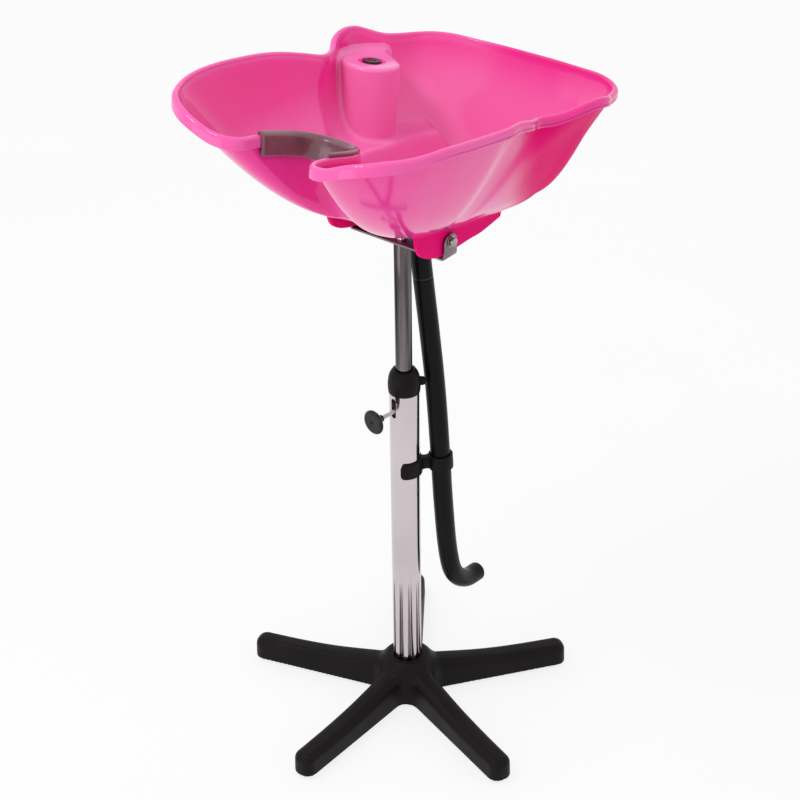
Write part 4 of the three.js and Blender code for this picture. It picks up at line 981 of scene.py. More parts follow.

# %% [markdown]
# ## Bowl: one skin
# Inner wall, lip and outer wall are one closed strip round the bowl, so no edge is ever open. Where
# the pillar stands, the strip's faces make way for the two patches. Each point gets its tone: painted
# light towards the floor and on the pillar, painted shade outside, most of all on the side away from the
# light.

# %% Tones and the finished bowl
# Levels of painted light for the floor, lip, pillar and hollow; the outside falls to painted shade on the
# side away from the light.
FLOOR_TONE, TONE_GAIN, TONE_LOW, TONE_HIGH = 0.36, 0.54, 905, 1040
LIP_TONE, LIP_GAIN, PILLAR_TONE, HOLLOW_TONE = 0.4, 0.3, 0.95, 0.4
SIDE_TONE, SIDE_FROM, SIDE_TO = 0.52, 110, 190


def painted_light_tone(points):
    """Painted light inside the bowl: more towards the floor, by a smooth step of the height."""
    return FLOOR_TONE + TONE_GAIN * (1 - smoothstep(points[:, 2], TONE_LOW, TONE_HIGH))


def make_bowl():
    """The strip without what the patches cover, the patches, the tap ring and the lugs, in one mesh."""
    rim, walls = lip_rows(line), inner[:, :-2]
    edges = np.repeat(inner[:, :1], 2, 1)
    edges[..., 2] = [FLOOR_Z - WALL, FLOOR_Z - 0.8]
    strip = np.concatenate([edges, walls, rim, outer[:, -3:0:-1]], 1)
    v, faces = grid(strip, wrap_u=True, wrap_v=True)
    f = np.array(faces)
    lip_at, lip_count = 2 + walls.shape[1], rim.shape[1]
    place = np.arange(len(v)) % strip.shape[1] - lip_at
    inside, beyond = place[f[:, 0]] < 0, place[f[:, 0]] >= lip_count
    covered = (column_field(v, *PILLAR_FORM) < FILLET + 1)[f].all(1) & inside
    covered |= (column_field(v, *HOLLOW_FORM) < HOLLOW_FILLET + 1)[f].any(1) & beyond
    skin = (v, f[~covered].tolist())
    if face_normals(v, f)[inside, 2].mean() < 0:
        skin = flipped(skin)
    parts = [(tilted(p), f) for p, f in [skin, inner_patch, outer_patch, tap_ring(), *lugs]]
    shell, pillar = parts[0][0], parts[1][0]
    # Painted shade: the outside's tone falls towards the side away from the light.
    side = shell[:, :2] @ [math.sin(VIEW_TURN), math.cos(VIEW_TURN)]
    side = 1 - smoothstep(side, SIDE_FROM, SIDE_TO)
    outside = np.where(place < lip_count, LIP_TONE + LIP_GAIN * side, SIDE_TONE * side)
    # Painted light inside and on the pillar; the lugs get 0, painted shade.
    tones = [np.where(place < 0, painted_light_tone(shell), outside), np.maximum(painted_light_tone(pillar), PILLAR_TONE),
             np.full(len(parts[2][0]), HOLLOW_TONE), painted_light_tone(parts[3][0])]
    tones += [np.zeros(len(p)) for p, f in parts[4:]]
    return piece("bowl_skin", parts, pink, "bowl", ["bowl_shell"], 50,
                 [("tone", np.concatenate(tones))])


make_bowl()

# %% [markdown]
# ## Waste hose
# The waste hose carries the water down to a bucket. It hangs from a joiner under the bowl, passes
# the clip on the column and ends open, in a hook. Its points were read off the photograph, and a
# smooth curve runs through them. A bevelled curve would be a quick hose, but a closed tube with an
# inner wall and rounded ends shows its bore at the open end.

# %% The hose's route
HOSE_R, HOSE_BORE, HOSE_SIDES, HOSE_LIP = 15.0, 12.0, 64, 0.8
hose_route = [[3.5, 41.8, 740], [7.5, 42.5, 704], [12, 43.2, 666], [16.5, 43.6, 627], [21, 43.8, 588],
              [25.2, 43.6, 548], [29.2, 42.9, 508], [32.6, 42, 471], [35.5, 41.5, 437], [38.4, 42, 384],
              [40.7, 43.7, 337], [42.8, 46, 294], [45, 49.6, 258], [46.2, 56.6, 229], [46.3, 72.5, 205],
              [45.5, 96, 189], [44, 124.5, 183]]
link_route = [[0, 45.9, 808.5], [0, 44, 796.6], [0, 42.1, 784.7], [0.8, 41.1, 768], [2, 41.3, 754],
              [3.5, 41.8, 740]]
RING_AT, JOINER_HALF, HOSE_TRIM, LINK_TRIM = 8, 2.0, 2.3, 0.3


def trimmed(path, start, end):
    """The path between two distances from its ends."""
    s = lengths(path)
    inside = s[(s > start + 0.5) & (s < s[-1] - end - 0.5)]
    return sampled(path, s, np.concatenate([[start], inside, [s[-1] - end]]))


hose_path = even(trimmed(smooth_path(hose_route, 40), HOSE_TRIM, 0), 300)
link_path = even(trimmed(smooth_path(link_route, 40), LINK_TRIM, HOSE_TRIM), 60)
print("hose", round(lengths(hose_path)[-1]), "mm, link", round(lengths(link_path)[-1]), "mm")


# %% A hose with a bore
def tube(path):
    """Circles along a path: out along the skin, round each end's lip and back along the bore."""
    tangent, side, other = along(path)
    a = np.linspace(0, 2 * math.pi, HOSE_SIDES, endpoint=False)
    ring = np.cos(a)[None, :, None] * side[:, None] + np.sin(a)[None, :, None] * other[:, None]
    n, lip = len(path) - 1, HOSE_LIP
    rows = [(0, HOSE_R - lip, 0.0), (0, HOSE_R - lip * 0.3, lip * 0.3), (0, HOSE_R, lip)]
    rows += [(i, HOSE_R, 0.0) for i in range(1, n)]
    rows += [(n, HOSE_R, -lip), (n, HOSE_R - lip * 0.3, -lip * 0.3), (n, HOSE_R - lip, 0.0),
             (n, HOSE_BORE + lip * 0.4, 0.0), (n, HOSE_BORE, -lip * 0.5)]
    rows += [(i, HOSE_BORE, 0.0) for i in range(n - 1, 0, -1)]
    rows += [(0, HOSE_BORE, lip * 0.5), (0, HOSE_BORE + lip * 0.4, 0.0)]
    at, radius, shift = (np.array(column) for column in zip(*rows))
    points = path[at][:, None] + ring[at] * radius[:, None, None] + (tangent[at] * shift[:, None])[:, None]
    distance = np.repeat(lengths(path)[at] + shift, HOSE_SIDES) * MM
    return outward(grid(points, wrap_u=True, wrap_v=True)), distance


print("the link's tube:", len(tube(link_path)[1]), "points")

# %% [markdown]
# ## Hose, link and joiner
# In use the hose's upper end moves with the mast and its lower part with the swivelling clip, and the
# short link above it moves between the tilting bowl and the mast. Here both tubes stay where they are
# drawn, and only the joiner between them rides on the mast.

# %% Hose, link and joiner
def make_hose():
    """Two tubes where they are drawn and a turned joiner that rides on the mast."""
    part, distance = tube(hose_path)
    hose = piece("waste_hose_tube", [part], hose_black, None, ["waste_hose"], 0,
                 [("along", distance)])
    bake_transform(hose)
    part, distance = tube(link_path)
    link = piece("hose_link", [part], hose_black, None, ["hose_connector"], 0,
                 [("along", distance)])
    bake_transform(link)
    way = np.array(hose_route[0]) - hose_route[1]
    sleeve = lathe(oblong(HOSE_BORE + 0.6, HOSE_R, -JOINER_HALF, JOINER_HALF, [0.3, 0.8, 0.8, 0.3]), 64)
    joiner = piece("joiner_sleeve", [placed(sleeve, way / np.linalg.norm(way), hose_route[0])],
                   gloss_black, "mast", ["hose_joiner"])


make_hose()

# %% [markdown]
# ## Neck pad
# A soft rubber channel clips over the lip of the neck recess, so that the neck rests softly. Cutting
# it from the lip's mesh would give it the same hard outline. It is a section of its own instead,
# carried along the same rim curve a little off the lip, and drawn in at both ends like a moulding.

# %% The pad's section and path
PAD_THICK, PAD_DROP, PAD_GAP, PAD_END, PAD_ROUND, PAD_DRAWN, PAD_LESS = 5.0, 25.0, 0.6, 12.0, 3.0, 0.62, 0.35
PAD_TOP, PAD_OUT = 2.6 + PAD_GAP, FLANGE_OUT + PAD_GAP
pad_section = soft_loop(
    [[1.6, PAD_TOP - 0.2], [0.8, PAD_TOP + 2.0], [2.6, PAD_TOP + PAD_THICK * 0.96],
     [PAD_OUT - 3, PAD_TOP + PAD_THICK], [PAD_OUT + 3.6, PAD_TOP + 1.8], [PAD_OUT + PAD_THICK, -3],
     [PAD_OUT + PAD_THICK * 1.05, -15], [PAD_OUT + PAD_THICK * 0.8, -PAD_DROP], [PAD_OUT, -PAD_DROP],
     [PAD_OUT, -15], [PAD_OUT, -1.5], [PAD_OUT - 2.2, PAD_TOP - 0.7], [4.5, PAD_TOP]],
    [0.5, 1, 2, 2.5, 3, 4, 4, 1.8, 1, 4, 2, 1.5, 1], 5)


def pad_path():
    """The rim from the recess's far corner, over its middle, to the near one, with its normals."""
    nodes, _ = rim_nodes()
    rim, _ = rim_line(1600)
    here = np.linalg.norm(rim - nodes[4], axis=1).argmin()
    order = np.arange(-here, here + 1) % len(rim)
    return rim[order], level_normals(rim)[order]


def make_pad():
    """Sections shrunk about their middle near the ends by 1 - sqrt(1 - (1-t)^2), then lofted."""
    path, normal = pad_path()
    s = lengths(path)
    picks = np.unique(np.concatenate([np.linspace(0, PAD_END, 10),
                                      np.linspace(PAD_END, s[-1] - PAD_END, 150),
                                      s[-1] - np.linspace(PAD_END, 0, 10)]))
    ways = sampled(normal, s, picks)
    ways /= np.linalg.norm(ways, axis=1)[:, None]
    middle, rings = pad_section.mean(0), []
    for at, way, near in zip(sampled(path, s, picks), ways, np.minimum(picks, s[-1] - picks)):
        t = min(near / PAD_ROUND, 1)
        grow = PAD_DRAWN + (1 - PAD_DRAWN) * math.sqrt(1 - (1 - t) ** 2)
        q = middle + (pad_section - middle) * [grow, 1 - (1 - grow) * PAD_LESS]
        on_lip = (q[:, 0] < PAD_OUT) & (q[:, 1] < PAD_TOP + 0.2) & (q[:, 0] > 2)
        q = np.where(on_lip[:, None], pad_section, q)
        rings.append(ring_at(at, way, q - [LIP_IN, 0]))
    v, faces = capped(rings)
    pad = piece("neck_cushion", [(tilted(v), faces)], pad_skin, "bowl", ["neck_pad"], 60)


make_pad()

# %% [markdown]
# ## Column
# Two tubes slide in each other. The chrome outer tube is slit at its foot into ten sprung fingers
# that taper to points, and has a slot for the clamp screw near its top. Boolean cuts on a tube would
# leave long thin faces. So each finger is a bent plate of its own, the slot's surroundings are a
# patch that runs from the slot's outline to a square, and plain rings fill in the rest.

# %% Tube sizes
OUTER_R, OUTER_WALL, OUTER_TOP, OUTER_LOW = 22.5, 1.6, 588.0, 76.3
FINGERS, FINGER_LENGTH, FINGER_GAP, FINGER_TIP, BREAK = 10, 150.0, 5.5, 6.0, 0.35
CLAMP_TURN, CLAMP_Z = math.radians(-97), 539.0
SLOT_HALF, SLOT_DROP, SLOT_TOP, SLOT_REACH, SLOT_MARGIN, TUBE_EDGE = 4.5, 33.0, 561.0, 0.5, 9, 0.3
INNER_R, INNER_WALL, INNER_LOW, INNER_TOP = 12.5, 1.5, 300.0, 810.7
OUTER_BORE = OUTER_R - OUTER_WALL
print("outer tube", OUTER_R * 2, "mm, inner tube", INNER_R * 2, "mm across")


# %% A finger
def finger(low_turn, high_turn):
    """A plate between two turns: the gap narrows by (1-share)^0.8, and the tip is a round end."""
    rows = []
    for z in np.concatenate([OUTER_LOW + np.array([0, 0.4, 1.2, 2.4, 4.0, FINGER_TIP]),
                             np.linspace(OUTER_LOW + 10, OUTER_LOW + FINGER_LENGTH, 40)]):
        share = min((z - OUTER_LOW) / FINGER_LENGTH, 1)
        gap = FINGER_GAP / 2 * (1 - share) ** 0.8 / OUTER_R + 0.00002
        tip = 1 - min((z - OUTER_LOW) / FINGER_TIP, 1)
        round_off = FINGER_TIP / OUTER_R * (1 - math.sqrt(max(1 - tip ** 2, 0))) * 0.7
        lo, hi = low_turn + gap + round_off, high_turn - gap - round_off
        e = min(BREAK, (hi - lo) * 0.2 * OUTER_R) / OUTER_R
        a = np.concatenate([[lo, lo + e * 0.3, lo + e], np.linspace(lo + 2.2 * e, hi - 2.2 * e, 12),
                            [hi - e, hi - e * 0.3, hi]])
        r = np.full(len(a), OUTER_R)
        r[[0, -1]] -= BREAK
        r[[1, -2]] -= 0.12
        rows.append(spun(np.append(r, 0 * r + OUTER_BORE), z, np.append(a, a[::-1])))
    return capped(rows)


print("a finger:", len(finger(0.0, 2 * math.pi / FINGERS)[1]), "faces")


# %% The tube above the fingers
def bent(sheet, radius):
    """A flat sheet of (turn, height) bent round the tube, with turns counted from the clamp."""
    return spun(radius, sheet[..., 1], CLAMP_TURN + sheet[..., 0])


def upper_tube():
    """A patch from the slot's outline to a square, plain sheets beside it and rings over and under."""
    half_z, middle = SLOT_DROP / 2, (SLOT_TOP + SLOT_TOP - SLOT_DROP) / 2
    b = np.linspace(0, 2 * math.pi, 48, endpoint=False)
    c, s = np.cos(b), np.sin(b)
    straight = np.sign(s) * np.where(np.abs(s) > 1e-9, half_z - SLOT_HALF, 0)
    slot = np.stack([c * SLOT_HALF / OUTER_R, middle + straight + SLOT_HALF * s], -1)
    square = np.maximum(np.abs(c), np.abs(s))
    box_half = half_z + SLOT_MARGIN
    box = np.stack([c / square * SLOT_REACH, middle + s / square * box_half], -1)
    skin = slot + (box - slot) * np.linspace(0, 1, 9)[:, None, None]
    parts = [grid(np.concatenate([bent(skin[::-1], OUTER_R), bent(skin[:1], OUTER_R),
                                  bent(skin[:1], OUTER_BORE), bent(skin, OUTER_BORE)]), wrap_v=True)]
    side = np.unique(np.round(box[np.abs(c) >= np.abs(s) - 1e-6, 1], 6))
    rest = np.linspace(SLOT_REACH, 2 * math.pi - SLOT_REACH, 100)
    sheet = np.stack(np.meshgrid(rest, side, indexing="ij"), -1)
    parts += [grid(bent(sheet, OUTER_R)), flipped(grid(bent(sheet, OUTER_BORE)))]
    z = np.linspace(middle + box_half, OUTER_TOP, 4)
    z[-1] -= TUBE_EDGE
    edge = [(OUTER_R - TUBE_EDGE, OUTER_TOP), (OUTER_BORE + TUBE_EDGE, OUTER_TOP)]
    top = [(OUTER_R, q) for q in z] + edge + [(OUTER_BORE, q) for q in z[::-1]]
    z = np.linspace(OUTER_LOW + FINGER_LENGTH, middle - box_half, 24)
    low = [(OUTER_BORE, q) for q in z[::-1]] + [(OUTER_R, q) for q in z]
    a = np.append(np.linspace(-SLOT_REACH, SLOT_REACH, 13)[:-1], rest[:-1])[:, None]
    for profile in (top, low):
        r, z = np.array(profile).T
        parts.append(grid(spun(r, z, CLAMP_TURN + a), wrap_u=True))
    return parts


print("upper tube:", sum(len(faces) for _, faces in upper_tube()), "faces")


# %% Both tubes
def make_column():
    """Ten fingers between even gaps and the tube above them; the inner tube is a turned ring."""
    gaps = CLAMP_TURN + 2 * math.pi / FINGERS * (np.arange(FINGERS) + 0.5)
    parts = [finger(g, g + 2 * math.pi / FINGERS) for g in gaps] + upper_tube()
    piece("outer_chrome", parts, chrome, "base", ["outer_tube"], 40)
    bore = INNER_R - INNER_WALL
    inner_tube = lathe(soft_loop([[bore, INNER_LOW], [INNER_R, INNER_LOW], [INNER_R, 420], [INNER_R, 560],
                                  [INNER_R, 700], [INNER_R, INNER_TOP], [bore, INNER_TOP]],
                                 [0.3, 0.4, 1, 1, 1, 0.4, 0.3], 3), 96)
    # The inner tube's finish carries a painted reflection.
    piece("inner_chrome", [inner_tube], chrome_painted_reflection, "mast", ["inner_tube"], 40)


make_column()

# %% [markdown]
# ## Collar
# A domed nylon collar closes the gap between the tubes and guides the inner one with a sleeve that
# reaches down inside. It carries a small ear with a barrel. Dome and sleeve are turned profiles, and
# the ear's web is a rounded section that shrinks along its short path into the dome.

# %% The collar with its ear
SLIDE, SLEEVE_R, EAR_TURN, EAR_R, EAR_Z = INNER_R + 0.4, 20.6, CLAMP_TURN + math.radians(135), 26.4, 583.1


def make_collar():
    """Turned dome and sleeve, a barrel across the ear and a web of shrinking oblongs."""
    sleeve = lathe(oblong(SLIDE, SLEEVE_R, 500, 575, [0.5, 0.8, 0.1, 0.1]), 96)
    dome = lathe(soft_loop([[SLEEVE_R, 588.3], [22.8, 588.3], [22.8, 566], [23.3, 566], [24.1, 571],
                            [24.3, 577], [24.1, 583], [23.2, 590], [21.2, 597.5], [16.6, 604],
                            [SLIDE, 604], [SLIDE, 574], [SLEEVE_R, 574]],
                           [0.2, 0.2, 0.2, 0.25, 3, 3, 3, 4, 4.5, 3, 1.2, 0.1, 0.1], 7), 128)
    out = np.array([math.cos(EAR_TURN), math.sin(EAR_TURN), 0])
    across = np.array([-out[1], out[0], 0])
    barrel = lathe(soft([[0, -4], [6, -4], [6, 4], [0, 4]], [0, 1.4, 1.4, 0], 6), 48)
    ear = placed(barrel, across, out * EAR_R + UP * EAR_Z)
    web = []
    for t in np.linspace(0, 1, 12):
        half, tall = 3.3 - 0.2 * t, 7.5 - 1.8 * t
        web.append(ring_at(out * (21.5 + 6.5 * t) + UP * EAR_Z, across,
                           oblong(-half, half, -tall, tall, 1.5)))
    piece("collar_moulding", [sleeve, dome, ear, capped(web)], nylon, "base", ["column_collar"],
          45)


make_collar()

# %% [markdown]
# ## Clamp knob
# The knob is a round black moulding with a dished back, on a plated screw that presses a pad against
# the inner tube. The knob is turned from one profile. The thread is a true helix without extra
# geometry: the lathe's warp moves each point's radius by a cosine of its turn less its height.

# %% Knob and screw
SCREW_R, SCREW_LOW, SCREW_HIGH, PITCH_MM, THREAD = 3.0, 18.1, 46.4, 1.0, 0.35


def thread(a, r, z):
    """Radius less depth * (1 + cos(turn - 2 pi height / pitch)) / 2, between the screw's ends."""
    groove = THREAD * (0.5 + 0.5 * np.cos(a - 2 * math.pi * z / PITCH_MM))
    return np.where((z > 18.4) & (z < 45.0), r - groove, r), z


def make_knob():
    """A turned disc and a turned screw, both swung from Z to the clamp's direction."""
    way = (math.cos(CLAMP_TURN), math.sin(CLAMP_TURN), 0)
    disc = lathe(soft([[0, 45.9], [5.4, 46], [5.8, 49], [6.8, 51.2], [16.0, 58.6], [18.9, 61.2],
                       [18.9, 64.0], [16.4, 66], [5.0, 65.7], [3.4, 65.3], [2.3, 63.4], [0, 63.2]],
                      [0, 0.8, 2, 2.4, 3, 1.2, 1.2, 1.4, 2, 1, 0.8, 0], 7), 128)
    piece("knob_moulding", [placed(disc, way, (0, 0, CLAMP_Z))], gloss_black, "clamp_knob", [],
          50)
    profile = [[0, SCREW_LOW], [2.4, SCREW_LOW]] + [[SCREW_R, q] for q in np.arange(18.5, 45.9, 0.2)]
    screw = lathe(profile + [[SCREW_R, SCREW_HIGH], [0, SCREW_HIGH]], 28, thread)
    piece("clamp_screw", [placed(screw, way, (0, 0, CLAMP_Z))], zinc, "clamp_knob", ["clamp_knob"],
          60)


make_knob()

# %% [markdown]
# ## Hose clip
# One nylon moulding holds the hose beside the column: a band that snaps round the tube, a ring for
# the hose and a bridge between them. Each is a rounded section carried along its own path. The ring
# leans with the hose, so its axis is the hose's direction at that point of the route.

# %% Band, ring and bridge
CLIP_Z, CLIP_BAND, CLIP_IN, CLIP_WALL, CLIP_FLARE = 437.0, 26.0, 22.9, 3.2, 1.2
CLIP_WRAP = math.radians(232)
RING_IN, RING_WALL, RING_TALL, RING_X, RING_Y = 15.4, 3.4, 24.0, 35.5, 41.5
BRIDGE_HALF, BRIDGE_TALL, BRIDGE_FLARE, FLARE_TURN = 6.5, 9.5, 3.5, 0.16


def clip_band(middle):
    """Oblongs along an arc: thinner and lower at the ends, which bend outwards a little."""
    rows = []
    turns = np.linspace(-CLIP_WRAP / 2, CLIP_WRAP / 2, 90)
    fullness = np.concatenate([np.linspace(0, 1, 6)[:-1], np.ones(80), np.linspace(1, 0, 6)[1:]])
    for a, t in zip(turns, fullness):
        tall = CLIP_BAND / 2 * (math.sqrt(max(1 - (1 - t) ** 2, 0)) * 0.5 + 0.5)
        wall = CLIP_WALL * (0.55 + 0.45 * t)
        flare = CLIP_FLARE * max(0, abs(a) - CLIP_WRAP / 2 + FLARE_TURN) / FLARE_TURN
        way = np.array([math.cos(a + middle), math.sin(a + middle), 0])
        ring = oblong(-wall / 2, wall / 2, -tall, tall, [0.3, 1.2, 1.2, 0.3])
        rows.append(ring_at(way * (CLIP_IN + CLIP_WALL / 2 + flare) + UP * CLIP_Z, way, ring))
    return capped(rows)


def make_clip():
    """The band, a turned ring swung to the hose's direction, and a bridge with flared ends."""
    middle = math.atan2(RING_Y, RING_X)
    tangent = np.array(hose_route[RING_AT - 1], float) - hose_route[RING_AT + 1]
    ring = lathe(oblong(RING_IN, RING_IN + RING_WALL, -RING_TALL / 2, RING_TALL / 2,
                        [0.6, 1.4, 1.4, 0.6], 6), 96)
    ring = placed(ring, tangent / np.linalg.norm(tangent), [RING_X, RING_Y, CLIP_Z])
    way = np.array([math.cos(middle), math.sin(middle), 0])
    start = CLIP_IN + 1.0
    reach = math.hypot(RING_X, RING_Y) - RING_IN - 1.2 - start
    bridge = []
    for t in np.linspace(0, 1, 24):
        half = BRIDGE_HALF + BRIDGE_FLARE * (abs(2 * t - 1)) ** 3
        bridge.append(ring_at(way * (start + reach * t) + UP * CLIP_Z, [-way[1], way[0], 0],
                              oblong(-half, half, -BRIDGE_TALL, BRIDGE_TALL, 2.2, 6)))
    piece("hose_holder", [clip_band(middle), ring, capped(bridge)], nylon, "hose_swivel", ["hose_clip"],
          45)


make_clip()

# %% [markdown]
# ## Bolts, nuts and washers
# A hexagon head is turned on a lathe too: its corners are chamfered, so they are lowest where the
# flats meet. Each row of the head below is a hexagon whose radius is the flat's distance divided by
# the cosine of the turn from the flat's middle, and the rows near the faces drop at the corners.

# %% Hexagons and discs
HEX_CUT, HEX_FACE, HEX_SIDES = 0.12, 0.90, 96


def hexagon(across, low, high, hole=0.0, dome=0.0):
    """Rows of a six-sided prism about Z with turned-down corners, from its lower to its upper face."""
    inner = across * math.cos(math.pi / 6)
    a = np.linspace(0, 2 * math.pi, HEX_SIDES + 1)[:-1]
    flat = inner / np.cos(np.abs((a % (math.pi / 3)) - math.pi / 6))
    flat = np.minimum(flat, inner / np.cos(math.pi / 6) - HEX_CUT)
    turned = (flat - inner) / (across - inner)
    face = across * HEX_FACE

    def circle(r, z):
        """A round row, left out where the hole has already cut it away."""
        return [(max(r, 1e-4), z)] if r >= hole else []
    rows = circle(hole, low) + circle(face * 0.9, low)
    rows += [(flat - 0.25 - 0.15 * turned, low + 0.3 + 0.5 * turned), (flat, low + 0.9 + 0.35 * turned),
             (flat, high - 1.4 - 0.5 * turned), (flat - 0.25, high - 0.75 - 1.1 * turned)]
    rows += circle(face * 0.93, high) + circle(face * 0.6, high + dome) + circle(hole, high + dome)
    rings = np.array([spun(r, z + 0 * a, a) for r, z in rows])
    return outward(grid(rings, wrap_u=True, wrap_v=True)) if hole > 0 else capped(rings)


def washer(radius, low, high, hole):
    """A flat ring with broken edges."""
    return lathe(oblong(hole, radius, low, high, BREAK), 64)


print("a hexagon head has", len(hexagon(8, 0, 5)[1]), "faces")

# %% [markdown]
# ## Bracket and tilt bolts
# A strip of steel, bent up at both ends, carries the bowl by two bolts. A strip in reality is bent
# from flat bar, and the model does the same: a flat section with broken edges follows a path with
# two soft corners, and narrows along a half circle at each ear.

# %% The bent strip
STRIP_Z, STRIP_THICK, STRIP_HALF, STRIP_WIDE, EAR_TOP = 811.0, 3.0, 86.0, 28.0, 849.0
EAR_ROUND, STRIP_BEND, STRIP_EDGE = AXIS_Z - 3, 6.0, 0.7


def strip_section(wide):
    """An oblong twelve-sided section whose corners are cut twice."""
    t, e = STRIP_THICK / 2, min(STRIP_EDGE, wide * 0.5)
    quarter = [[wide - e, t], [wide - 0.3 * e, t - 0.2], [wide, t - 0.7]]
    right = [[x, -z] for x, z in quarter] + quarter[::-1]
    return right + [[-x, -z] for x, z in right]


def make_bracket():
    """Sections square to a path that runs up, across and up again."""
    mid, x_ear = STRIP_Z + STRIP_THICK / 2, STRIP_HALF - STRIP_THICK / 2
    right = even(soft([[0, mid], [x_ear, mid], [x_ear, EAR_TOP]], [0, STRIP_BEND, 0], 12), 120)
    path = np.concatenate([(right * [-1, 1])[::-1][:-1], right])
    tangent = np.gradient(path, axis=0)
    tangent /= np.linalg.norm(tangent, axis=1)[:, None]
    rows = []
    for p, t in zip(path, tangent):
        wide = STRIP_WIDE / 2
        if p[1] > EAR_ROUND and abs(p[0]) > STRIP_HALF - 8:
            up = (p[1] - EAR_ROUND) / (EAR_TOP - EAR_ROUND)
            wide = wide * math.sqrt(max(1 - up * up, 0)) + 0.8 * up
        section = strip_section(max(wide, 0.8))
        rows.append(ring_at([p[0], 0, p[1]], [0, 1, 0], section, np.array([-t[1], 0, t[0]])))
    piece("bracket_strip", [capped(rows)], dark_steel, "mast", ["tilt_bracket"], 35)


make_bracket()

# %% Bolts at both ears
def make_bolts():
    """Washer, bolt and nut at each ear, swung from Z to the side, and the screw under the bowl."""
    for side, name in ((1, "right"), (-1, "left")):
        at = dict(axis=(side, 0, 0), at=(0, 0, AXIS_Z))
        shank = lathe(soft([[0, 72], [3.2, 72], [4, 73.2], [4, 88], [0, 88]], 0.6), 40)
        bolt = [placed(part, **at) for part in (hexagon(7.5, 87.8, 92.6, dome=0.2), shank)]
        piece(f"tilt_disc_{name}", [placed(washer(8.5, 86.35, 87.5, 4.2), **at)], zinc, "mast",
              [f"tilt_washer_{name}"])
        piece(f"tilt_screw_{name}", bolt, zinc, "mast", [f"tilt_bolt_{name}"], 30)
        piece(f"tilt_hex_{name}", [placed(hexagon(7.0, 67.7, 73.7, 4.05), **at)], zinc, "mast",
              [f"tilt_nut_{name}"], 30)
    piece("mast_screw", [hexagon(8.2, 814.3, 820.3, dome=0.9)], bright_chrome, "mast", ["mast_bolt"],
          30)


make_bolts()

# %% [markdown]
# ## Star base
# The base is one black moulding: five tapering legs that blend into a low hub, hollow from below to
# save plastic. Legs built as separate boxes would meet in sharp creases. A distance field of legs and
# hub, joined smoothly, gives the round crotches and edges of a real moulding, and the net that
# made the pillar makes this mesh too.

# %% Sizes of the star
LEGS, LEG_REACH, ROOT_WIDE, TIP_WIDE, ROOT_TALL, TIP_TALL, FOOT_TALL = 5, 266.0, 40.0, 37.0, 62.0, 29.0, 5.0
HUB_R, HUB_TOP_R, HUB_TOP, HUB_LOW = 41.0, 30.0, 76.0, 40
HUB_RECESS, HUB_FLOOR, HUB_CEILING = 22.0, 24.0, 16.0
FIRST_LEG, CROTCH, LEG_CORNER, STAR_EDGE, DRAFT = math.radians(-90), 20.0, 16.0, 11.0, 0.03
LEG_WALL, LEG_SOLID, CAVE_EDGE, BACK_CROWN, STAR_CELL = 4.0, 38.0, 8.0, 0.009, 2.3
leg_turns = FIRST_LEG + 2 * math.pi / LEGS * np.arange(LEGS)
print("legs at", np.round(np.degrees(leg_turns)), "degrees")


def leg_frame(x, y, turn):
    """Distance out along a leg and sideways from its middle: the plan turned back by the leg's turn."""
    return x * math.cos(turn) + y * math.sin(turn), -x * math.sin(turn) + y * math.cos(turn)


def smooth_min(a, b, k):
    """The lower of two values, blended over a width k: mix(b, a, h) - k h (1 - h)."""
    h = np.clip(0.5 + 0.5 * (b - a) / k, 0, 1)
    return b * (1 - h) + a * h - k * h * (1 - h)


# %% Plan and height of the star
def star_plan(x, y):
    """Signed distance in plan: the hub's circle and each leg's tapering round-ended strip, blended."""
    best = np.hypot(x, y) - HUB_R
    for turn in leg_turns:
        u, w = leg_frame(x, y, turn)
        half = (ROOT_WIDE - (ROOT_WIDE - TIP_WIDE) * np.clip(u / LEG_REACH, 0, 1)) / 2
        leg = round_corner(u - LEG_REACH, np.abs(w) - half, LEG_CORNER)
        best = smooth_min(best, np.maximum(leg, -u), CROTCH)
    return best


def star_top(x, y):
    """Height of the top: each leg's back falls by 1 - (1-share)^1.5 and is crowned by w^2."""
    top = np.zeros_like(x)
    for turn in leg_turns:
        u, w = leg_frame(x, y, turn)
        share = np.clip(u / LEG_REACH, 0, 1)
        back = FOOT_TALL + ROOT_TALL - (ROOT_TALL - TIP_TALL) * (1 - (1 - share) ** 1.5)
        top = -smooth_min(-top, -np.where(u > 0, back - BACK_CROWN * w * w, 0), 6.0)
    hub = HUB_TOP - (HUB_TOP - HUB_LOW) * smoothstep(np.hypot(x, y), HUB_TOP_R - 1, HUB_R + 22)
    return np.minimum(-smooth_min(-top, -hub, 8.0), HUB_TOP)


def star_field(p):
    """The outer form less its cave (the form drawn in by the wall) less the bolt's recess."""
    x, y, z = p[..., 0], p[..., 1], p[..., 2]
    sides, height, r = star_plan(x, y) + (z - FOOT_TALL) * DRAFT, star_top(x, y), np.hypot(x, y)
    body = round_corner(sides, (z - height) * 0.95, STAR_EDGE)
    body = -smooth_min(-body, z - FOOT_TALL, 1.5)
    ends = np.full_like(x, 1e3)
    for turn in leg_turns:
        out = np.abs(leg_frame(x, y, turn)[0] - LEG_REACH + LEG_SOLID / 2) - LEG_SOLID / 2
        ends = np.minimum(ends, out)
    ceiling = HUB_CEILING + (height - 1.6 * LEG_WALL - HUB_CEILING) * smoothstep(r, HUB_R - 4, HUB_R + 34)
    cave = np.maximum(round_corner(sides + LEG_WALL, (z - ceiling) * 0.9, CAVE_EDGE), -ends)
    recess = np.maximum(r - HUB_RECESS, HUB_FLOOR - z)
    return np.maximum(np.maximum(body, -cave), -recess)


print("top of the hub and of a leg's tip:", star_top(np.zeros(2), np.array([0.0, -LEG_REACH])).round(1))


# %% The star and its rubber pads
RUBBER_R, RUBBER_AT = 13.0, 247.0


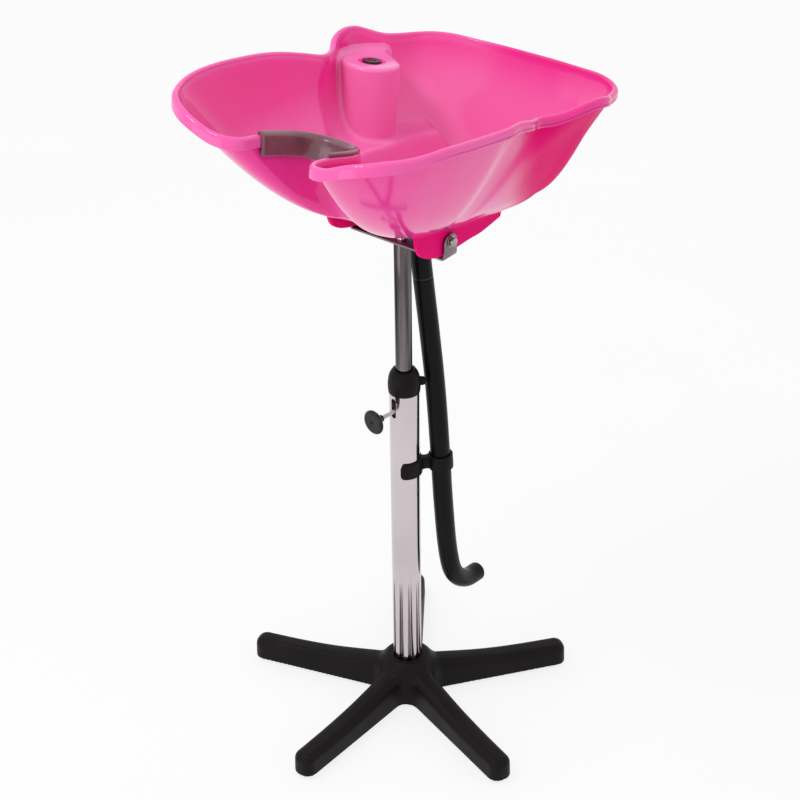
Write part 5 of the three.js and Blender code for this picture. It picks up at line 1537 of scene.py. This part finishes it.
def make_base():
    """The net of the star's field, and five turned pads near the tips of the legs."""
    reach = LEG_REACH + 6
    v, quads = net(star_field, [-reach, -reach, STAR_CELL], [reach, reach, HUB_TOP + 4], STAR_CELL)
    star = (v, quads.tolist())
    if face_normals(v, quads)[v[quads[:, 0], 2] > 30, 2].mean() < 0:
        star = flipped(star)
    piece("star_moulding", [star], nylon, "base", ["base_star"], 50)
    pad = lathe(soft([[0, 0.4], [7.5, 0.4], [8.5, 0], [RUBBER_R - 0.5, 0], [RUBBER_R, 2.2],
                      [RUBBER_R - 0.6, FOOT_TALL], [0, FOOT_TALL]], [0, 0.4, 0.4, 0.9, 1, 0.5, 0]), 64)
    for i, turn in enumerate(leg_turns):
        at = (RUBBER_AT * math.cos(turn), RUBBER_AT * math.sin(turn), 0)
        piece(f"rubber_pad_{i + 1}", [placed(pad, at=at)], foot_rubber, "base", [f"rubber_foot_{i + 1}"])


make_base()

# %% [markdown]
# ## Drain fittings
# A chrome strainer sits in the drain hole. Under the bowl a grey back nut holds it, and a tailpiece
# takes the hose link, gripped by a plated band. All are turned parts on the drain's axis, which leans
# with the bowl, so each profile is spun upright, moved to the drain and tilted once. The strainer's
# slots are the gaps between eight spokes, which needs no cut.

# %% The strainer
DRAIN = np.array([0, DRAIN_Y, FLOOR_Z])
STRAINER_R, STRAINER_TOP, THROAT, GRID_LOW, GRID_HIGH, SPOKES = 34.0, 2.5, 23.6, -13.5, -9.6, 8


def at_drain(name, parts, surface, replaced, smooth, body="bowl"):
    """A piece from parts drawn about the drain's axis, moved to the drain and tilted."""
    piece(name, [(tilted(v + DRAIN), f) for v, f in parts], surface, body, [replaced], smooth)


def strainer_parts():
    """A turned lip, a floor ring and a hub, with spokes that widen with the radius like pie pieces."""
    lip = lathe(soft_loop([[21.6, -11.0], [THROAT, -9.6], [THROAT, 0.25], [STRAINER_R, 0.25],
                           [STRAINER_R, 1.6], [30.0, STRAINER_TOP], [25.5, 1.9], [21.8, 0.2], [21.3, -3]],
                          [0.5, 1, 0.6, 0.4, 0.5, 1.5, 2.5, 2.5, 1], 6), 128)
    ring = lathe(oblong(13.6, 22.0, GRID_LOW, GRID_HIGH, 0.5), 96)
    hub = lathe(soft([[0, GRID_LOW], [4.4, GRID_LOW], [4.4, GRID_HIGH], [0, GRID_HIGH + 0.6]], 0.5), 48)
    rows = []
    for t in np.linspace(0, 1, 14):
        r = 3.6 + 11.2 * t
        half = max(r * math.pi / SPOKES - 1.9, 0.9) + 0.9 * (2 * t - 1) ** 6
        section = oblong(-half, half, GRID_LOW + 0.2, GRID_HIGH - 0.2, 0.45, 4)
        rows.append(ring_at([r, 0, 0], [0, 1, 0], section))
    spoke = capped(rows)
    return [lip, ring, hub] + [placed(spoke, spin=2 * math.pi * (i + 0.5) / SPOKES) for i in range(SPOKES)]


at_drain("strainer_bright", strainer_parts(), bright_chrome, "drain_strainer", 50)

# %% Back nut, tailpiece and band
NUT_R, NUT_LOW, NUT_HIGH = 33.0, -13.3, -4.3
TAIL_R, GRIP_R, TAIL_BORE, TAIL_TOP, TAIL_SHOULDER, TAIL_LOW = 13.0, 11.3, 8.3, -13.9, -33.9, -57.9
BAND_Z, BAND_HALF, BAND_IN, BAND_OUT = -45.9, 4.5, 15.3, 16.5
BAND_LOW, BAND_HIGH = BAND_Z - BAND_HALF, BAND_Z + BAND_HALF


def band_parts():
    """A turned band, a housing of rounded sections side by side and a turned screw laid across it."""
    band = lathe(soft_loop([[BAND_IN, BAND_LOW], [BAND_OUT - 0.3, BAND_LOW], [BAND_OUT, BAND_LOW + 0.9],
                            [BAND_OUT, BAND_HIGH - 0.9], [BAND_OUT - 0.3, BAND_HIGH],
                            [BAND_IN, BAND_HIGH]], 0.2), 96)
    section = soft_loop([[BAND_OUT - 1.2, -4.4], [BAND_OUT + 4.6, -4.0], [BAND_OUT + 4.6, 4.0],
                         [BAND_OUT - 1.2, 4.4]], [0.3, 2.0, 2.0, 0.3], 6)
    housing = capped([ring_at([x, 0, BAND_Z], [0, 1, 0], section) for x in np.linspace(-4.6, 4.6, 12)])
    screw = lathe(soft([[0, -5.6], [2.6, -5.6], [2.6, -4.4], [2.0, -4.4], [2.0, 7.6], [3.1, 7.8],
                        [3.1, 10.6], [0, 10.6]], 0.4), 32)
    return [band, housing, placed(screw, (1, 0, 0), (0, BAND_OUT + 2.0, BAND_Z))]


tailpiece = lathe(soft_loop(
    [[TAIL_BORE, TAIL_TOP], [THROAT, TAIL_TOP], [THROAT, TAIL_TOP - 2], [TAIL_R, TAIL_TOP - 4.2],
     [TAIL_R, TAIL_SHOULDER + 2], [GRIP_R, TAIL_SHOULDER + 1.6], [GRIP_R, TAIL_LOW], [TAIL_BORE, TAIL_LOW]],
    [0.4, 0.7, 0.7, 2.5, 0.7, 0.5, 0.6, 0.5], 6), 96)
back_nut = hexagon(NUT_R, NUT_LOW, NUT_HIGH, HOLE_R + 0.3)
at_drain("back_nut_moulded", [back_nut], grey_plastic, "drain_back_nut", 35)
at_drain("tailpiece_moulded", [tailpiece], grey_plastic, "drain_tailpiece", 45)
at_drain("band_clamp_plated", band_parts(), zinc, "hose_clamp", 35)

# %% [markdown]
# ## Stopper and tap plug
# A rubber stopper lies on the strainer and lifts off by its knob. The tap hole is closed by a black
# plug with a slot across its cap. The stopper is one turned profile. The plug's cap has many rings,
# so that a warp can press the slot into it.

# %% Stopper and plug
CAP_Z, CAP_RISE, SLOT_LONG, SLOT_WIDE, SLOT_DEEP, CAP_R = SEAT_Z + 0.3, 3.0, 7.7, 1.1, 1.1, 12.8
stopper = lathe(soft([[0, -2.2], [17.6, -2.2], [19.4, 2.6], [26, 2.8], [26, 4.8], [24.6, 5.8], [9, 6.1],
                      [4.2, 6.6], [4.2, 9.8], [7.0, 12.2], [6.2, 14.8], [0, 15.0]],
                     [0, 1, 0.8, 0.5, 0.6, 1.2, 1.5, 2, 2, 1.6, 1.4, 0], 6), 128)
at_drain("stopper_rubber", [stopper], foot_rubber, "drain_stopper", 45, "drain_stopper")


def slot_cut(a, r, z):
    """Points of the cap inside the slot's rectangle go down by its depth."""
    cut = (np.abs(r * np.cos(a)) < SLOT_LONG) & (np.abs(r * np.sin(a)) < SLOT_WIDE) & (z > CAP_Z + 2.0)
    return r, np.where(cut, z - SLOT_DEEP, z)


cap = ([[0, CAP_Z - 10.6], [11.6, CAP_Z - 10.6], [12.0, CAP_Z - 10.0], [12.0, CAP_Z], [13.7, CAP_Z],
        [14.0, CAP_Z + 0.4], [14.0, CAP_Z + 1.9], [13.8, CAP_Z + 2.5], [13.3, CAP_Z + 2.9]]
       + [[r, CAP_Z + CAP_RISE] for r in np.arange(CAP_R, 0.2, -0.35)] + [[0, CAP_Z + 1.9]])
plug, plug_faces = lathe(cap, 256, slot_cut)
piece("tap_plug_moulded", [(tilted(plug + [*PILLAR, 0]), plug_faces)], gloss_black, "tap_plug",
      ["tap_hole_plug"], 35)

# %% [markdown]
# ## Small hidden pieces
# Spigot, hub bolt, plugs and pads inside the tubes are simple turned or flat parts, and the packed
# model's own solids already have their shape. They only need a finish, the same as their neighbours'.

# %% Finishes for the kept solids
kept_finishes = {"pole_spigot": dark_steel, "hub_bolt": zinc, "hub_washer": zinc, "clamp_nut_plate": zinc,
                 "clamp_pad": nylon, "tube_end_plug": nylon, "mast_plug": nylon}
for name, surface in kept_finishes.items():
    for place in bpy.data.objects[name].material_slots:
        place.material = surface
print("finished as they are:", *kept_finishes)

# %% [markdown]
# ## Light and backdrop
# The photograph is lit from all round before plain white. A world of one even colour would do that,
# but then the pale sides would drown in it. So the camera and every reflection see plain white,
# while the soft light that falls on the surfaces is a little weaker, most of all from behind.
# The world's shader can tell these rays apart.

# %% The white room
ROOM_WAY, ROOM_FROM, ROOM_TO, ROOM_DARK, ROOM_LIGHT = (0.629, -0.777, 0.0), -0.6, 0.9, 0.86, 0.92


def straight_rays(tree):
    """1 for a ray from the camera, off a gloss or through a clear piece: the three flags' clamped sum."""
    path = tree.nodes.new("ShaderNodeLightPath")
    seen = path.outputs["Is Camera Ray"]
    for kind in ("Is Glossy Ray", "Is Transmission Ray"):
        total = tree.nodes.new("ShaderNodeMath")
        total.operation, total.use_clamp = "ADD", True
        tree.links.new(seen, total.inputs[0])
        tree.links.new(path.outputs[kind], total.inputs[1])
        seen = total.outputs[0]
    return seen


def make_world():
    """White for straight rays; else grey by the dot product of the ray and a level direction."""
    world = bpy.data.worlds.new("studio")
    bpy.context.scene.world = world
    world.use_nodes = True
    tree = world.node_tree
    tree.nodes.clear()
    new, link = tree.nodes.new, tree.links.new
    dot, ramp = new("ShaderNodeVectorMath"), new("ShaderNodeMapRange")
    dot.operation = "DOT_PRODUCT"
    dot.inputs[1].default_value = ROOM_WAY
    link(new("ShaderNodeTexCoord").outputs["Generated"], dot.inputs[0])
    for key, value in (("From Min", ROOM_FROM), ("From Max", ROOM_TO), ("To Min", ROOM_DARK),
                       ("To Max", ROOM_LIGHT)):
        ramp.inputs[key].default_value = value
    link(dot.outputs["Value"], ramp.inputs["Value"])
    room, white = new("ShaderNodeBackground"), new("ShaderNodeBackground")
    link(ramp.outputs[0], room.inputs["Strength"])
    white.inputs["Strength"].default_value = 1.0
    for node in (room, white):
        node.inputs["Color"].default_value = (1, 1, 1, 1)
    mix = new("ShaderNodeMixShader")
    for source, socket in zip((straight_rays(tree), room.outputs[0], white.outputs[0]), mix.inputs):
        link(source, socket)
    link(mix.outputs[0], new("ShaderNodeOutputWorld").inputs["Surface"])
    print("world:", len(tree.nodes), "nodes")


make_world()
bpy.context.scene.view_settings.view_transform = "Standard"

# %% [markdown]
# ## Lamps
# White all round would leave the bowl flat. One softbox high on the left gives the rim and the walls
# their gradient, and a broad weak one low in front, on the same side, lifts the underside. A sun
# or a point lamp would draw hard shadows, so both are large area lamps, as in a studio.

# %% Two softboxes
def softbox(name, place, target, size, power):
    """A rectangular area lamp whose -Z axis looks at its target."""
    data = bpy.data.lights.new(name, "AREA")
    data.shape = "RECTANGLE"
    data.size, data.size_y = size
    data.energy = power
    obj = bpy.data.objects.new(name, data)
    obj.location = place
    obj.rotation_euler = (Vector(target) - Vector(place)).to_track_quat("-Z", "Y").to_euler()
    bpy.context.scene.collection.objects.link(obj)
    print(f"{name}: {power} W, {size[0]} by {size[1]} m")


softbox("key", (-0.6, -1.2, 2.9), (0, 0, 0.9), (0.7, 0.45), 18)
softbox("fill", (-0.5, -2.4, 0.4), (0, 0, 0.95), (1.8, 1.2), 10)

# %% [markdown]
# ## Floor
# The floor is a pale sheet that takes a faint shadow. The photograph shows pure white there, so
# for straight rays most of the floor's light is its own glow, and the rest is the shaded sheet.

# %% A pale floor
FLOOR_HALF, FLOOR_STEPS, FLOOR_GLOW = 12.0, 25, 0.8


def floor_material():
    """The sheet's shader mixed with a glow, by 0.8 for straight rays and by 0 for all others."""
    n = Nodes("floor_white")
    tone = n.ramp(n.noise(2.0), [(0.3, (0.86, 0.86, 0.86, 1)), (0.7, (0.9, 0.9, 0.9, 1))])
    material = n.set(Base_Color=tone, Roughness=0.6)
    amount = n.add("ShaderNodeMath", {1: FLOOR_GLOW}, operation="MULTIPLY")
    n.link(straight_rays(n.tree), amount.inputs[0])
    glow, mix = n.add("ShaderNodeEmission"), n.add("ShaderNodeMixShader")
    for source, socket in zip((amount.outputs[0], n.shader.outputs[0], glow.outputs[0]), mix.inputs):
        n.link(source, socket)
    n.link(mix.outputs[0], n.surface)
    return material


def make_floor():
    """An even grid in the plane z = 0."""
    steps = np.linspace(-FLOOR_HALF, FLOOR_HALF, FLOOR_STEPS)
    x, y = np.meshgrid(steps, steps, indexing="ij")
    v, faces = grid(np.stack([x, y, 0 * x], -1))
    mesh = bpy.data.meshes.new("floor")
    mesh.from_pydata(v, [], faces)
    obj = bpy.data.objects.new("floor", mesh)
    bpy.context.scene.collection.objects.link(obj)
    mesh.materials.append(floor_material())
    print("floor:", len(faces), "faces")
    return obj


make_floor()
